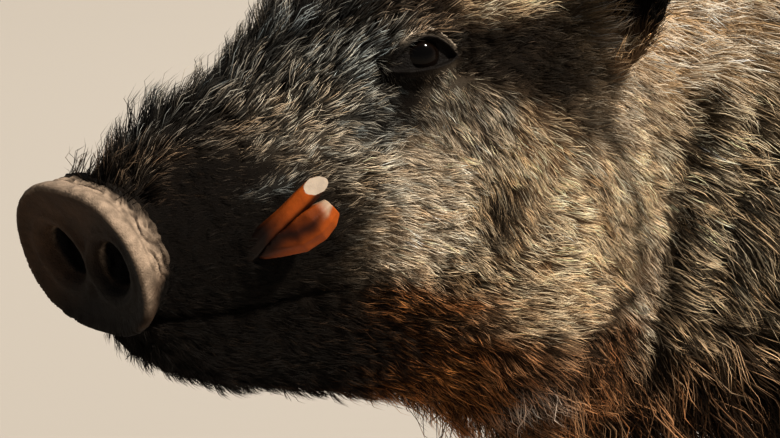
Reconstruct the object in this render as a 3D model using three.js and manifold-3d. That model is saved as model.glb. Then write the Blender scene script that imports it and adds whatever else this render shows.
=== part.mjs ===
// Wild boar (Sus scrofa), adult male, standing with its head turned to its left. Life size.
// Millimetres, +Z up. The trunk faces -Y, the animal's left is +X, and the soles are at Z = 0.
// Surfaces are given out to the tips of the coat.
import * as THREE from 'three';
import { mergeVertices } from 'three/addons/utils/BufferGeometryUtils.js';
import Module from 'manifold-3d';

// ---------------------------------------------------------------- driving dimensions
const GAP = 0.3;                    // clearance between touching pieces
const HEAD_TURN = THREE.MathUtils.degToRad(42);   // yaw of the head to its left
const NECK_ARC = 262;               // length of the bent neck, withers to occiput
const NECK_START_Y = -40;           // where the straight trunk ends and the bend begins
const HEAD_LENGTH = 380;            // snout disc to the start of the neck
const SNOUT_HEIGHT = 600;           // height of the snout disc's centre
const DISC_HALF_WIDTH = 50;
const DISC_HALF_HEIGHT = 46;
const DISC_DEPTH = 15;
const DISC_TILT = THREE.MathUtils.degToRad(16);   // the disc looks slightly down
const NOSTRIL_OFFSET = 19;          // each nostril from the middle of the disc
const EYE_RADIUS = 17;
const EYE_PLACE = { behind: 231, side: 51, above: 86 };
const HOOF_LENGTH = 62;
const HOOF_WIDTH = 31;
const HOOF_HEIGHT = 44;
const CLAW_SPREAD = 17.5;           // each main hoof from the middle of the foot
const DEWCLAW_SPREAD = 23;
const FORE_FEET = { left: 52, right: -4 };        // Y of each fore foot
const HIND_FEET = { left: 640, right: 700 };      // Y of each hind foot
const FOOT_SIDE = 88;               // each foot from the middle of the body

// Cross-sections of the head: distance behind the disc, then crown line, middle and underside
// above the disc's centre, half width, and squareness of the upper and lower halves (2 = ellipse).
const HEAD_SECTIONS = [
  [4, 35, 0, -37, 39, 2.2, 2.2],
  [22, 48, 0, -42, 39, 2.1, 2.2],
  [42, 67, 1, -47, 40, 2.0, 2.3],
  [75, 80, 3, -52, 46, 2.0, 2.4],
  [110, 88, 4, -58, 53, 2.1, 2.4],
  [145, 104, 2, -66, 60, 2.2, 2.3],
  [180, 124, 0, -90, 70, 2.2, 2.2],
  [222, 141, -2, -124, 86, 2.3, 2.1],
  [268, 154, -10, -158, 105, 2.2, 2.1],
  [312, 162, -18, -188, 118, 2.1, 2.1],
  [350, 167, -26, -214, 122, 2.1, 2.1],
];

// Cross-sections of the neck (turned by the given part of the head's turn), and of the trunk at
// each Y: back line, middle and underside above the ground, half width, and squareness.
const NECK_SECTIONS = [
  [0.72, 798, 576, 346, 130, 2.1, 2.25],
  [0.38, 842, 574, 333, 145, 2.1, 2.3],
];
const TRUNK_SECTIONS = [
  [-40, 872, 576, 330, 160, 2.0, 2.3],
  [45, 884, 576, 338, 172, 2.0, 2.2],
  [155, 873, 578, 353, 175, 2.0, 2.2],
  [285, 849, 584, 376, 170, 2.1, 2.2],
  [415, 822, 592, 397, 158, 2.1, 2.1],
  [535, 794, 601, 428, 147, 2.1, 2.1],
  [640, 764, 610, 468, 134, 2.1, 2.1],
  [715, 729, 616, 520, 106, 2.0, 2.1],
  [762, 690, 620, 562, 66, 2.0, 2.0],
  [778, 662, 622, 588, 32, 2.0, 2.0],
];

// The lower jaw: distance behind the disc, upper line, underside, half width.
const JAW_SECTIONS = [
  [22, -38, -50, 14],
  [32, -34, -66, 25],
  [62, -34, -88, 32],
  [105, -36, -112, 38],
  [155, -38, -133, 45],
  [205, -44, -149, 54],
  [255, -52, -162, 64],
  [305, -60, -172, 70],
];

// Legs, top to bottom, for a foot at Y = 0: side of the body, Y, height, then the reach of
// the leg in front of, behind and beside that line.
const FORE_LEG = [
  [74, -36, 650, 78, 88, 62],
  [98, -30, 572, 96, 104, 80],
  [102, -12, 490, 86, 92, 72],
  [98, 8, 420, 64, 68, 54],
  [94, 4, 345, 45, 48, 40],
  [90, -2, 270, 33, 34, 32],
  [89, -5, 218, 35, 33, 32],
  [88, -2, 160, 27, 28, 27],
  [88, 2, 105, 30, 31, 30],
  [88, -6, 66, 29, 28, 34],
  [88, -14, 34, 31, 27, 36],
];
const HIND_LEG = [
  [58, -10, 675, 110, 70, 58],
  [86, -42, 595, 126, 112, 70],
  [97, -60, 505, 116, 112, 70],
  [100, -50, 425, 88, 84, 58],
  [95, -12, 355, 58, 55, 44],
  [90, 30, 298, 40, 36, 34],
  [88, 46, 252, 36, 37, 32],
  [87, 33, 185, 28, 28, 28],
  [87, 12, 112, 31, 31, 30],
  [88, -2, 68, 29, 28, 34],
  [88, -12, 34, 31, 27, 36],
];

// Tail: side, Y, height, radius, from the root to the tuft's end.
const TAIL = [
  [0, 742, 694, 27],
  [0, 780, 676, 23],
  [5, 802, 622, 16],
  [12, 810, 556, 14],
  [17, 808, 500, 19],
  [19, 804, 450, 20],
  [20, 800, 412, 8],
];

// Ear: half width and cup depth from the root to the tip, at equal steps up the ear.
const EAR_HALF_WIDTHS = [42, 51, 56, 54, 45, 31, 12];
const EAR_CUP_DEPTHS = [34, 36, 32, 25, 18, 12, 6];
const EAR_THICKNESS = 15;

const COLOURS = {
  greyCoat: 0x6e6254,
  darkCoat: 0x2e2620,
  paleCoat: 0x9a8b74,
  disc: 0x3a2a22,
  horn: 0x211c18,
  eye: 0x0d0a09,
  tusk: 0xc98f52,
};

// ---------------------------------------------------------------- solids
const wasm = await Module();
wasm.setup();

function toSolid(geometry) {
  const bare = geometry.index ? geometry.clone() : mergeVertices(geometry.clone());
  for (const name of ['normal', 'uv', 'tangent']) bare.deleteAttribute(name);
  const welded = mergeVertices(bare, 1e-3);
  const mesh = new wasm.Mesh({
    numProp: 3,
    vertProperties: new Float32Array(welded.attributes.position.array),
    triVerts: new Uint32Array(welded.index.array),
  });
  return new wasm.Manifold(mesh);
}

function toGeometry(solid) {
  const mesh = solid.getMesh();
  const geometry = new THREE.BufferGeometry();
  geometry.setAttribute('position', new THREE.BufferAttribute(new Float32Array(mesh.vertProperties), 3));
  geometry.setIndex(new THREE.BufferAttribute(new Uint32Array(mesh.triVerts), 1));
  geometry.computeVertexNormals();
  return geometry;
}

// The largest of the separate bodies that a cut leaves.
function largest(solid) {
  return solid.decompose().reduce((best, piece) => (piece.volume() > best.volume() ? piece : best));
}

// A closed skin through rings of points, with a fan of triangles at each end.
function ringGeometry(rings) {
  const count = rings[0].length;
  const points = rings.flat();
  const middle = (ring) => ring.reduce((sum, p) => sum.add(p), new THREE.Vector3()).divideScalar(count);
  points.push(middle(rings[0]), middle(rings[rings.length - 1]));
  const first = points.length - 2;
  const last = points.length - 1;
  const faces = [];
  for (let i = 0; i < count; i++) {
    const j = (i + 1) % count;
    faces.push(first, j, i);
    const base = (rings.length - 1) * count;
    faces.push(last, base + i, base + j);
    for (let k = 0; k < rings.length - 1; k++) {
      const a = k * count;
      const b = a + count;
      faces.push(a + i, a + j, b + j, a + i, b + j, b + i);
    }
  }
  const geometry = new THREE.BufferGeometry().setFromPoints(points);
  geometry.setIndex(faces);
  if (signedVolume(geometry) < 0) {
    for (let i = 0; i < faces.length; i += 3) [faces[i], faces[i + 1]] = [faces[i + 1], faces[i]];
    geometry.setIndex(faces);
  }
  return geometry;
}

function signedVolume(geometry) {
  const position = geometry.attributes.position;
  const corners = [new THREE.Vector3(), new THREE.Vector3(), new THREE.Vector3()];
  let sum = 0;
  for (let i = 0; i < geometry.index.count; i += 3) {
    corners.forEach((corner, k) => corner.fromBufferAttribute(position, geometry.index.getX(i + k)));
    sum += corners[0].dot(corners[1].cross(corners[2]));
  }
  return sum;
}

// One point of a rounded section. The squareness is 2 for an ellipse and more for a boxier one.
function onSection(angle, half, up, down, squareUp, squareDown) {
  const rise = Math.sin(angle);
  const square = rise > 0 ? squareUp : squareDown;
  const side = half * Math.sign(Math.cos(angle)) * Math.abs(Math.cos(angle)) ** (2 / square);
  const height = (rise > 0 ? up : down) * Math.sign(rise) * Math.abs(rise) ** (2 / square);
  return [side, height];
}

// A smooth function through rows of numbers, of a position from 0 to 1 along them.
function smoothRows(rows) {
  const curves = [];
  for (let c = 0; c < rows[0].length; c += 3) {
    const points = rows.map((row) => new THREE.Vector3(row[c], row[c + 1] ?? 0, row[c + 2] ?? 0));
    curves.push(new THREE.CatmullRomCurve3(points, false, 'catmullrom', 0.5));
  }
  return (t) => curves.flatMap((curve) => curve.getPoint(t).toArray());
}

// ---------------------------------------------------------------- head frame
const FORWARD = new THREE.Vector3(Math.sin(HEAD_TURN), -Math.cos(HEAD_TURN), 0);
const LEFT = new THREE.Vector3(Math.cos(HEAD_TURN), Math.sin(HEAD_TURN), 0);
const UP = new THREE.Vector3(0, 0, 1);
const NECK_RADIUS = NECK_ARC / HEAD_TURN;

function neckPoint(turn) {
  return new THREE.Vector3(
    NECK_RADIUS * (1 - Math.cos(turn)),
    NECK_START_Y - NECK_RADIUS * Math.sin(turn),
    0,
  );
}

const NOSE = neckPoint(HEAD_TURN).addScaledVector(FORWARD, HEAD_LENGTH).setZ(SNOUT_HEIGHT);

function headPoint(behind, side, above) {
  return NOSE.clone().addScaledVector(FORWARD, -behind).addScaledVector(LEFT, side).addScaledVector(UP, above);
}

function headDirection(forward, side, above) {
  return new THREE.Vector3()
    .addScaledVector(FORWARD, forward)
    .addScaledVector(LEFT, side)
    .addScaledVector(UP, above)
    .normalize();
}

// ---------------------------------------------------------------- head, neck and trunk in one
// Local swellings (+) and hollows (-) of the head's surface: distance behind the disc, angle
// above the horizontal, length and angle that each spreads over, and its height.
const SWELLINGS = [
  { behind: 105, angle: -10, along: 34, spread: 30, height: 7 },    // lip over the tusks
  { behind: 222, angle: 62, along: 34, spread: 20, height: 6 },     // brow
  { behind: 196, angle: 34, along: 30, spread: 20, height: -7 },    // in front of the eye
  { behind: 235, angle: 8, along: 60, spread: 16, height: 5 },      // cheekbone
  { behind: 318, angle: -28, along: 48, spread: 34, height: 10 },   // jowl
];

function swelling(behind, angle) {
  const degrees = THREE.MathUtils.radToDeg(Math.asin(Math.sin(angle)));
  return SWELLINGS.reduce((sum, s) => {
    const along = (behind - s.behind) / s.along;
    const round = (degrees - s.angle) / s.spread;
    return sum + s.height * Math.exp(-along * along - round * round);
  }, 0);
}

function bodyRows() {
  const rows = HEAD_SECTIONS.map(([behind, top, middle, bottom, half, above, below]) => {
    const p = headPoint(behind, 0, middle);
    return [p.x, p.y, p.z, top - middle, middle - bottom, half, above, below, behind];
  });
  const straight = (p, top, middle, bottom, half, above, below) =>
    [p.x, p.y, middle, top - middle, middle - bottom, half, above, below, 999];
  for (const [part, ...section] of NECK_SECTIONS) rows.push(straight(neckPoint(HEAD_TURN * part), ...section));
  for (const [y, ...section] of TRUNK_SECTIONS) rows.push(straight(new THREE.Vector3(0, y, 0), ...section));
  return rows;
}

function bodyGeometry(grow = 0) {
  const around = 24;
  const steps = 46;
  const row = smoothRows(bodyRows());
  const rings = [];
  for (let k = 0; k <= steps; k++) {
    const t = k / steps;
    const [x, y, z, up, down, half, above, below, behind] = row(t);
    const ahead = row(Math.max(0, t - 1e-3));
    const after = row(Math.min(1, t + 1e-3));
    const heading = new THREE.Vector3(after[0] - ahead[0], after[1] - ahead[1], 0).normalize();
    const side = new THREE.Vector3().crossVectors(heading, UP);
    const ring = [];
    for (let i = 0; i < around; i++) {
      const angle = (2 * Math.PI * i) / around;
      const [across, height] = onSection(angle, half + grow, up + grow, down + grow, above, below);
      const out = behind < 450 ? swelling(behind, angle) : 0;
      const scale = 1 + out / Math.hypot(across, height);
      ring.push(new THREE.Vector3(x, y, z)
        .addScaledVector(side, across * scale)
        .addScaledVector(UP, height * scale));
    }
    rings.push(ring);
  }
  return ringGeometry(rings);
}

function jawGeometry() {
  const around = 12;
  const steps = 12;
  const row = smoothRows(JAW_SECTIONS.map(([behind, top, bottom, half]) => [behind, top, bottom, half, 0, 0]));
  const rings = [];
  for (let k = 0; k <= steps; k++) {
    const [behind, top, bottom, half] = row(k / steps);
    const middle = (top + bottom) / 2;
    const ring = [];
    for (let i = 0; i < around; i++) {
      const angle = (2 * Math.PI * i) / around;
      const [side, height] = onSection(angle, half, top - middle, middle - bottom, 2.4, 2.2);
      ring.push(headPoint(behind, side, middle + height));
    }
    rings.push(ring);
  }
  return ringGeometry(rings);
}

// ---------------------------------------------------------------- limbs, tail and ears
function legGeometry(rows, side, footY) {
  const around = 10;
  const steps = 15;
  const row = smoothRows(rows);
  const rings = [];
  for (let k = 0; k <= steps; k++) {
    const t = k / steps;
    const [x, y, z, front, back, half] = row(t);
    const before = row(Math.max(0, t - 1e-3));
    const after = row(Math.min(1, t + 1e-3));
    const down = new THREE.Vector3(0, after[1] - before[1], after[2] - before[2]).normalize();
    const ahead = new THREE.Vector3(0, down.z, -down.y);
    const ring = [];
    for (let i = 0; i < around; i++) {
      const angle = (2 * Math.PI * i) / around;
      const [across, along] = onSection(angle, half, front, back, 2.1, 2.1);
      ring.push(new THREE.Vector3(side * (x + across), footY + y, z).addScaledVector(ahead, along));
    }
    rings.push(ring);
  }
  return ringGeometry(rings);
}

function tailGeometry() {
  const around = 8;
  const steps = 10;
  const row = smoothRows(TAIL.map(([x, y, z, radius]) => [x, y, z, radius, 0, 0]));
  const rings = [];
  for (let k = 0; k <= steps; k++) {
    const t = k / steps;
    const [x, y, z, radius] = row(t);
    const after = row(Math.min(1, t + 1e-3));
    const before = row(Math.max(0, t - 1e-3));
    const along = new THREE.Vector3(after[0] - before[0], after[1] - before[1], after[2] - before[2]).normalize();
    const side = new THREE.Vector3(1, 0, 0);
    const back = new THREE.Vector3().crossVectors(side, along);
    const ring = [];
    for (let i = 0; i < around; i++) {
      const angle = (2 * Math.PI * i) / around;
      ring.push(new THREE.Vector3(x, y, z)
        .addScaledVector(side, radius * 0.8 * Math.cos(angle))
        .addScaledVector(back, radius * Math.sin(angle)));
    }
    rings.push(ring);
  }
  return ringGeometry(rings);
}

// A cupped leaf: the back of the cup is a shallow arc, and the hollow follows it inside.
function earGeometry(side) {
  const across = 6;
  const steps = 8;
  const root = headPoint(312, side * 82, 54);
  const tip = headPoint(352, side * 152, 208);
  const opening = headDirection(0.7, side * 0.7, 0.1);
  const row = smoothRows(EAR_HALF_WIDTHS.map((half, i) => [half, EAR_CUP_DEPTHS[i], 0]));
  const rings = [];
  for (let k = 0; k <= steps; k++) {
    const t = k / steps;
    const [half, depth] = row(t);
    const rise = new THREE.Vector3().subVectors(tip, root).normalize();
    const wide = new THREE.Vector3().crossVectors(opening, rise).normalize();
    const face = new THREE.Vector3().crossVectors(rise, wide);
    const bend = 14 * Math.sin(Math.PI * t);
    const centre = root.clone().lerp(tip, t).addScaledVector(face, -bend);
    const thick = Math.min(EAR_THICKNESS, half * 0.9);
    const ring = [];
    for (let i = 0; i < across; i++) {
      const s = -1 + (2 * i) / (across - 1);
      const back = -depth * (1 - s * s) - thick / 2;
      ring.push(centre.clone().addScaledVector(wide, half * s).addScaledVector(face, back));
    }
    for (let i = across - 1; i >= 0; i--) {
      const s = (-1 + (2 * i) / (across - 1)) * 0.94;
      const front = -depth * (1 - s * s) + thick / 2;
      ring.push(centre.clone().addScaledVector(wide, half * s).addScaledVector(face, front));
    }
    rings.push(ring);
  }
  return ringGeometry(rings);
}

// ---------------------------------------------------------------- snout disc, eyes, tusks
const DISC_FACE = headDirection(Math.cos(DISC_TILT), 0, -Math.sin(DISC_TILT));
const DISC_UP = headDirection(Math.sin(DISC_TILT), 0, Math.cos(DISC_TILT));

function discPoint(depth, across, up) {
  return NOSE.clone()
    .addScaledVector(DISC_FACE, -depth)
    .addScaledVector(LEFT, across)
    .addScaledVector(DISC_UP, up);
}

function discGeometry() {
  const around = 20;
  // Depth behind the face, and size as a part of the full outline.
  const profile = [[5, 0.55], [3, 0.78], [0, 0.9], [1.5, 0.98], [6, 1], [11, 0.95], [DISC_DEPTH, 0.84]];
  const rings = profile.map(([depth, size]) => {
    const ring = [];
    for (let i = 0; i < around; i++) {
      const angle = (2 * Math.PI * i) / around;
      const [across, up] = onSection(angle, DISC_HALF_WIDTH * size, DISC_HALF_HEIGHT * size,
        DISC_HALF_HEIGHT * size, 2.15, 2.0);
      ring.push(discPoint(depth, across, up));
    }
    return ring;
  });
  return ringGeometry(rings);
}

function nostrilGeometry(side) {
  const shape = new THREE.SphereGeometry(1, 8, 6);
  const axes = new THREE.Matrix4().makeBasis(LEFT, DISC_UP, DISC_FACE);
  const place = discPoint(8, side * NOSTRIL_OFFSET, -2);
  shape.scale(9.5, 12.5, 30);
  return shape.applyMatrix4(axes).translate(place.x, place.y, place.z);
}

// A slab that holds everything in front of the plane at this depth behind the disc's face.
function inFrontOfDisc(depth) {
  const size = 400;
  const box = new THREE.BoxGeometry(size, size, size);
  const axes = new THREE.Matrix4().makeBasis(LEFT, DISC_UP, DISC_FACE);
  const place = discPoint(depth - size / 2, 0, 0);
  return box.applyMatrix4(axes).translate(place.x, place.y, place.z);
}

function eyeGeometry(side, grow = 0) {
  const place = headPoint(EYE_PLACE.behind, side * EYE_PLACE.side, EYE_PLACE.above);
  const ball = new THREE.SphereGeometry(EYE_RADIUS + grow, 12, 8);
  return ball.translate(place.x, place.y, place.z);
}

// The opening between the lids, an almond-shaped well from the eye out to the coat.
function lidOpening(side) {
  const out = headDirection(0.38, side * 0.87, 0.3);
  const along = headDirection(0.87, side * -0.46, -0.06);
  const across = new THREE.Vector3().crossVectors(out, along).normalize();
  const well = new THREE.SphereGeometry(1, 10, 6);
  well.scale(22, 11, 34);
  const long = new THREE.Vector3().crossVectors(across, out).normalize();
  well.applyMatrix4(new THREE.Matrix4().makeBasis(long, across, out));
  const place = headPoint(EYE_PLACE.behind - 2, side * (EYE_PLACE.side + 5), EYE_PLACE.above + 1);
  return well.translate(place.x, place.y, place.z);
}

// A curved, tapering tusk through five points of the head frame, with its two radii at each.
function tuskGeometry(side, rows, grow = 0) {
  const around = 8;
  const steps = 6;
  const row = smoothRows(rows.map(([behind, out, above, wide, deep]) => [behind, out, above, wide, deep, 0]));
  const place = (r) => headPoint(r[0], side * r[1], r[2]);
  const rings = [];
  for (let k = 0; k <= steps; k++) {
    const t = k / steps;
    const here = row(t);
    const along = place(row(Math.min(1, t + 1e-3))).sub(place(row(Math.max(0, t - 1e-3)))).normalize();
    const flat = new THREE.Vector3().crossVectors(LEFT, along).normalize();
    const thick = new THREE.Vector3().crossVectors(along, flat);
    const ring = [];
    for (let i = 0; i < around; i++) {
      const angle = (2 * Math.PI * i) / around;
      ring.push(place(here)
        .addScaledVector(flat, (here[3] + grow) * Math.cos(angle))
        .addScaledVector(thick, (here[4] + grow) * Math.sin(angle)));
    }
    rings.push(ring);
  }
  return ringGeometry(rings);
}

// Each row: behind the disc, out from the middle, above the disc's centre, two radii.
const LOWER_TUSK = [
  [84, 34, -18, 7, 7],
  [93, 47, -2, 7, 6.5],
  [105, 60, 15, 6.5, 5.5],
  [117, 68, 28, 7.5, 5],
  [127, 73, 38, 5, 3],
];
const UPPER_TUSK = [
  [93, 34, -9, 8, 8],
  [100, 50, -3, 10, 9],
  [111, 64, 2, 12.5, 9.5],
  [121, 71, 10, 12.5, 8.5],
  [128, 74, 17, 7.5, 5],
];

// ---------------------------------------------------------------- hooves
function hoofOutline(length, width) {
  const shape = new THREE.Shape();
  const half = width / 2;
  shape.moveTo(-half * 0.8, length * 0.38);
  shape.lineTo(half * 0.8, length * 0.38);
  shape.quadraticCurveTo(half * 1.15, length * 0.1, half, -length * 0.15);
  shape.quadraticCurveTo(half * 0.7, -length * 0.5, 0, -length * 0.62);
  shape.quadraticCurveTo(-half * 0.7, -length * 0.5, -half, -length * 0.15);
  shape.quadraticCurveTo(-half * 1.15, length * 0.1, -half * 0.8, length * 0.38);
  return shape;
}

// A main hoof with a flat sole, narrowing and sloping back towards the coronet.
function hoofGeometry(x, y, inward, grow = 0) {
  const options = { depth: HOOF_HEIGHT, steps: 1, curveSegments: 2, bevelEnabled: false };
  const outline = hoofOutline(HOOF_LENGTH + 4 * grow, HOOF_WIDTH + 4 * grow);
  const hoof = new THREE.ExtrudeGeometry(outline, options);
  const p = hoof.attributes.position;
  for (let i = 0; i < p.count; i++) {
    const rise = p.getZ(i) / HOOF_HEIGHT;
    const narrow = 1 - 0.22 * rise;
    const heel = p.getY(i) > 0 ? 1 : 0;
    const top = p.getZ(i) - 12 * rise * (0.5 + p.getY(i) / HOOF_LENGTH) * (1 + 0.3 * heel) + 3 * grow * rise;
    p.setXYZ(i, x + p.getX(i) * narrow + inward * 3 * rise, y + p.getY(i) * narrow + 10 * rise, top);
  }
  return hoof;
}

function dewclawGeometry(x, y, outward, grow = 0) {
  const claw = new THREE.CylinderGeometry(11 + 2 * grow, 7 + 2 * grow, 38 + 4 * grow, 8, 1);
  claw.scale(1, 1, 0.85);
  claw.rotateX(Math.PI / 2 + THREE.MathUtils.degToRad(28));
  claw.rotateZ(outward * THREE.MathUtils.degToRad(12));
  return claw.translate(x, y, 46);
}

// ---------------------------------------------------------------- parting planes
// Everything that lies further along the normal than this offset from the point.
function halfSpace(point, normal, offset = GAP / 2) {
  const size = 3000;
  const box = new THREE.BoxGeometry(size, size, size);
  const unit = normal.clone().normalize();
  const centre = point.clone().addScaledVector(unit, offset + size / 2);
  box.applyQuaternion(new THREE.Quaternion().setFromUnitVectors(UP, unit));
  return toSolid(box.translate(centre.x, centre.y, centre.z));
}

function cutInTwo(solid, { point, normal }) {
  return [normal, normal.clone().negate()].map((away) => solid.intersect(halfSpace(point, away)));
}

// ---------------------------------------------------------------- assembly
const boar = new THREE.Group();

function add(name, solid, colour, roughness = 0.9) {
  const material = new THREE.MeshStandardMaterial({ color: colour, roughness, metalness: 0 });
  const mesh = new THREE.Mesh(toGeometry(solid), material);
  mesh.name = name;
  boar.add(mesh);
}

const SIDES = { left: 1, right: -1 };
const MOUTH_CORNER = headPoint(158, 0, -47);
const MOUTH_DROP = headDirection(0.047, 0, -1);
const JAW_SPLIT = headDirection(1, 0, 0.35);
const HEAD_SPLIT = { point: headPoint(366, 0, 0), normal: headDirection(1, 0, -0.1) };
const SHOULDER_SPLIT = { point: new THREE.Vector3(0, -86, 620), normal: new THREE.Vector3(0.12, -1, 0.22) };

// The space of the lower jaw: under the line of the mouth and ahead of the mouth's corners.
function jawSpace(offset) {
  return halfSpace(MOUTH_CORNER, MOUTH_DROP, offset).intersect(halfSpace(MOUTH_CORNER, JAW_SPLIT, offset));
}

const body = toSolid(bodyGeometry());
const [foreEnd, trunk] = cutInTwo(body, SHOULDER_SPLIT);
const [skull, neck] = cutInTwo(foreEnd, HEAD_SPLIT);
const jawLoft = toSolid(jawGeometry()).intersect(halfSpace(HEAD_SPLIT.point, HEAD_SPLIT.normal));
const wholeHead = skull.add(jawLoft).subtract(toSolid(inFrontOfDisc(DISC_DEPTH + GAP)));
let lowerJaw = wholeHead.intersect(jawSpace(GAP / 2));
let head = wholeHead.subtract(jawSpace(-GAP / 2));

let disc = toSolid(discGeometry());
for (const side of Object.values(SIDES)) {
  disc = disc.subtract(toSolid(nostrilGeometry(side)));
  head = head.subtract(toSolid(nostrilGeometry(side)));
  head = head.subtract(toSolid(eyeGeometry(side, GAP))).subtract(toSolid(lidOpening(side)));
  for (const rows of [LOWER_TUSK, UPPER_TUSK]) {
    head = head.subtract(toSolid(tuskGeometry(side, rows, GAP)));
    lowerJaw = lowerJaw.subtract(toSolid(tuskGeometry(side, rows, GAP)));
  }
}
head = largest(head);
lowerJaw = largest(lowerJaw);

add('head', head, COLOURS.greyCoat);
add('lower_jaw', lowerJaw, COLOURS.darkCoat);
add('snout_disc', largest(disc), COLOURS.disc, 0.6);
add('neck', largest(neck), COLOURS.paleCoat);

const bodyGrown = toSolid(bodyGeometry(GAP));
const tail = largest(toSolid(tailGeometry()).subtract(bodyGrown));
add('trunk', largest(trunk), COLOURS.greyCoat);
add('tail', tail, COLOURS.darkCoat);

for (const [name, side] of Object.entries(SIDES)) {
  add(`ear_${name}`, largest(toSolid(earGeometry(side)).subtract(bodyGrown)), COLOURS.darkCoat);
  add(`eye_${name}`, toSolid(eyeGeometry(side)), COLOURS.eye, 0.1);
  const upperTusk = toSolid(tuskGeometry(side, UPPER_TUSK));
  const lowerTusk = toSolid(tuskGeometry(side, LOWER_TUSK));
  add(`upper_tusk_${name}`, largest(upperTusk.subtract(toSolid(tuskGeometry(side, LOWER_TUSK, GAP)))),
    COLOURS.tusk, 0.35);
  add(`lower_tusk_${name}`, lowerTusk, COLOURS.tusk, 0.35);

  const legs = [
    { part: 'fore', rows: FORE_LEG, y: FORE_FEET[name], claw: -22, dew: 22 },
    { part: 'hind', rows: HIND_LEG, y: HIND_FEET[name], claw: -20, dew: 25 },
  ];
  for (const { part, rows, y, claw, dew } of legs) {
    let leg = toSolid(legGeometry(rows, side, y)).subtract(bodyGrown);
    for (const [place, across] of [['inner', -1], ['outer', 1]]) {
      const hoofX = side * (FOOT_SIDE + across * CLAW_SPREAD);
      const dewX = side * (FOOT_SIDE + across * DEWCLAW_SPREAD);
      const hoof = (grow) => toSolid(hoofGeometry(hoofX, y + claw, -side * across, grow));
      const dewclaw = (grow) => toSolid(dewclawGeometry(dewX, y + dew, side * across, grow));
      leg = leg.subtract(hoof(GAP)).subtract(dewclaw(GAP));
      add(`hoof_${part}_${name}_${place}`, hoof(0), COLOURS.horn, 0.5);
      add(`dewclaw_${part}_${name}_${place}`, dewclaw(0), COLOURS.horn, 0.5);
    }
    add(`${part}_leg_${name}`, largest(leg), COLOURS.darkCoat);
  }
}

// The origin is under the middle of the animal's box, on the ground.
const box = new THREE.Box3().setFromObject(boar);
const centre = box.getCenter(new THREE.Vector3());
boar.position.set(-centre.x, -centre.y, -box.min.z);
const model = new THREE.Group();
model.add(boar);

export default model;
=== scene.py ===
"""Wild boar, standing with its head turned to its left: skin, coat, eyes, tusks and hooves.

Everything is in metres, in the part's frame: +Z up, the trunk faces -Y, the animal's left is +X.
Head places are written as (behind the snout disc, out from the middle, above the disc), in mm.
"""
import math
from contextlib import contextmanager
import bpy
import bmesh
import numpy as np
from mathutils import Matrix, Vector
from mathutils.bvhtree import BVHTree
from mathutils.kdtree import KDTree


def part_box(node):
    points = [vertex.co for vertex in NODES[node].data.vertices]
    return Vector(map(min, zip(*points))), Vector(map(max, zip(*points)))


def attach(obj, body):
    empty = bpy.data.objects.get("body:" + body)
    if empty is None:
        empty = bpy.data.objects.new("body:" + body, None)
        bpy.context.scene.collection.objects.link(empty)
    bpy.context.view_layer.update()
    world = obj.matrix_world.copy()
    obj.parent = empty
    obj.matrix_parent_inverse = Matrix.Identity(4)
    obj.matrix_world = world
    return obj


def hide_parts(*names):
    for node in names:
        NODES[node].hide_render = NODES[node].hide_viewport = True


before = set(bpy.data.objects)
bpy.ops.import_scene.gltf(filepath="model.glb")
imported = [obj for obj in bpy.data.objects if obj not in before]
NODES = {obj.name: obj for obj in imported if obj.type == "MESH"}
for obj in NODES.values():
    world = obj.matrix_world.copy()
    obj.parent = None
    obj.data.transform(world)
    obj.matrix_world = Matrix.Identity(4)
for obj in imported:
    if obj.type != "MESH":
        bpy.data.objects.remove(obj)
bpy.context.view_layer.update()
MM = 0.001

# ------------------------------------------------------------------ the head's own axes
HEAD_TURN = math.radians(42)
FORWARD = np.array([math.sin(HEAD_TURN), -math.cos(HEAD_TURN), 0.0])
LEFT = np.array([math.cos(HEAD_TURN), math.sin(HEAD_TURN), 0.0])
UP = np.array([0.0, 0.0, 1.0])
DISC_TILT = math.radians(16)
DISC_FACE = FORWARD * math.cos(DISC_TILT) - UP * math.sin(DISC_TILT)
DISC_UP = FORWARD * math.sin(DISC_TILT) + UP * math.cos(DISC_TILT)
DISC_DEPTH = 15 * MM
DISC_HALF_WIDTH = 51.5 * MM
DISC_HALF_HEIGHT = 48 * MM
HEAD_LENGTH = 380 * MM
NECK_ARC = 262 * MM


def middle(node):
    low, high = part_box(node)
    return np.array((low + high) / 2)


NOSE = middle("snout_disc") + DISC_FACE * DISC_DEPTH / 2


def head_point(behind, side, above):
    """A place on the head, from millimetres."""
    return NOSE + (-FORWARD * behind + LEFT * side + UP * above) * MM


def head_vector(forward, side, above):
    v = FORWARD * forward + LEFT * side + UP * above
    return v / np.linalg.norm(v)


def head_places(points):
    """Behind, out and above, in mm, of an array of points."""
    d = (points - NOSE) / MM
    return np.stack([-(d @ FORWARD), d @ LEFT, d @ UP], axis=1)


# ------------------------------------------------------------------ small maths
def unit(v):
    return v / np.maximum(np.linalg.norm(v, axis=-1, keepdims=True), 1e-9)


def ramp(low, high, x):
    t = np.clip((x - low) / (high - low), 0, 1)
    return t * t * (3 - 2 * t)


def bell(x, centre, width):
    return np.exp(-((x - centre) / width) ** 2)


def mix(a, b, t):
    a, b = np.asarray(a), np.asarray(b)
    return a + (b - a) * t


NOISE_SIZE = 32
NOISE_SEED = 7
NOISE_TABLE = np.random.default_rng(NOISE_SEED).random((NOISE_SIZE,) * 3)


def noise(points, grain, shift=0.0):
    """Smooth value noise from -1 to 1, with lumps about one grain across."""
    p = points / grain + shift
    cell = np.floor(p).astype(int)
    t = p - cell
    t = t * t * (3 - 2 * t)
    total = np.zeros(len(points))
    for corner in np.ndindex(2, 2, 2):
        i = (cell + corner) % NOISE_SIZE
        share = np.prod(np.where(corner, t, 1 - t), axis=1)
        total += share * NOISE_TABLE[i[:, 0], i[:, 1], i[:, 2]]
    return total * 2 - 1


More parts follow.
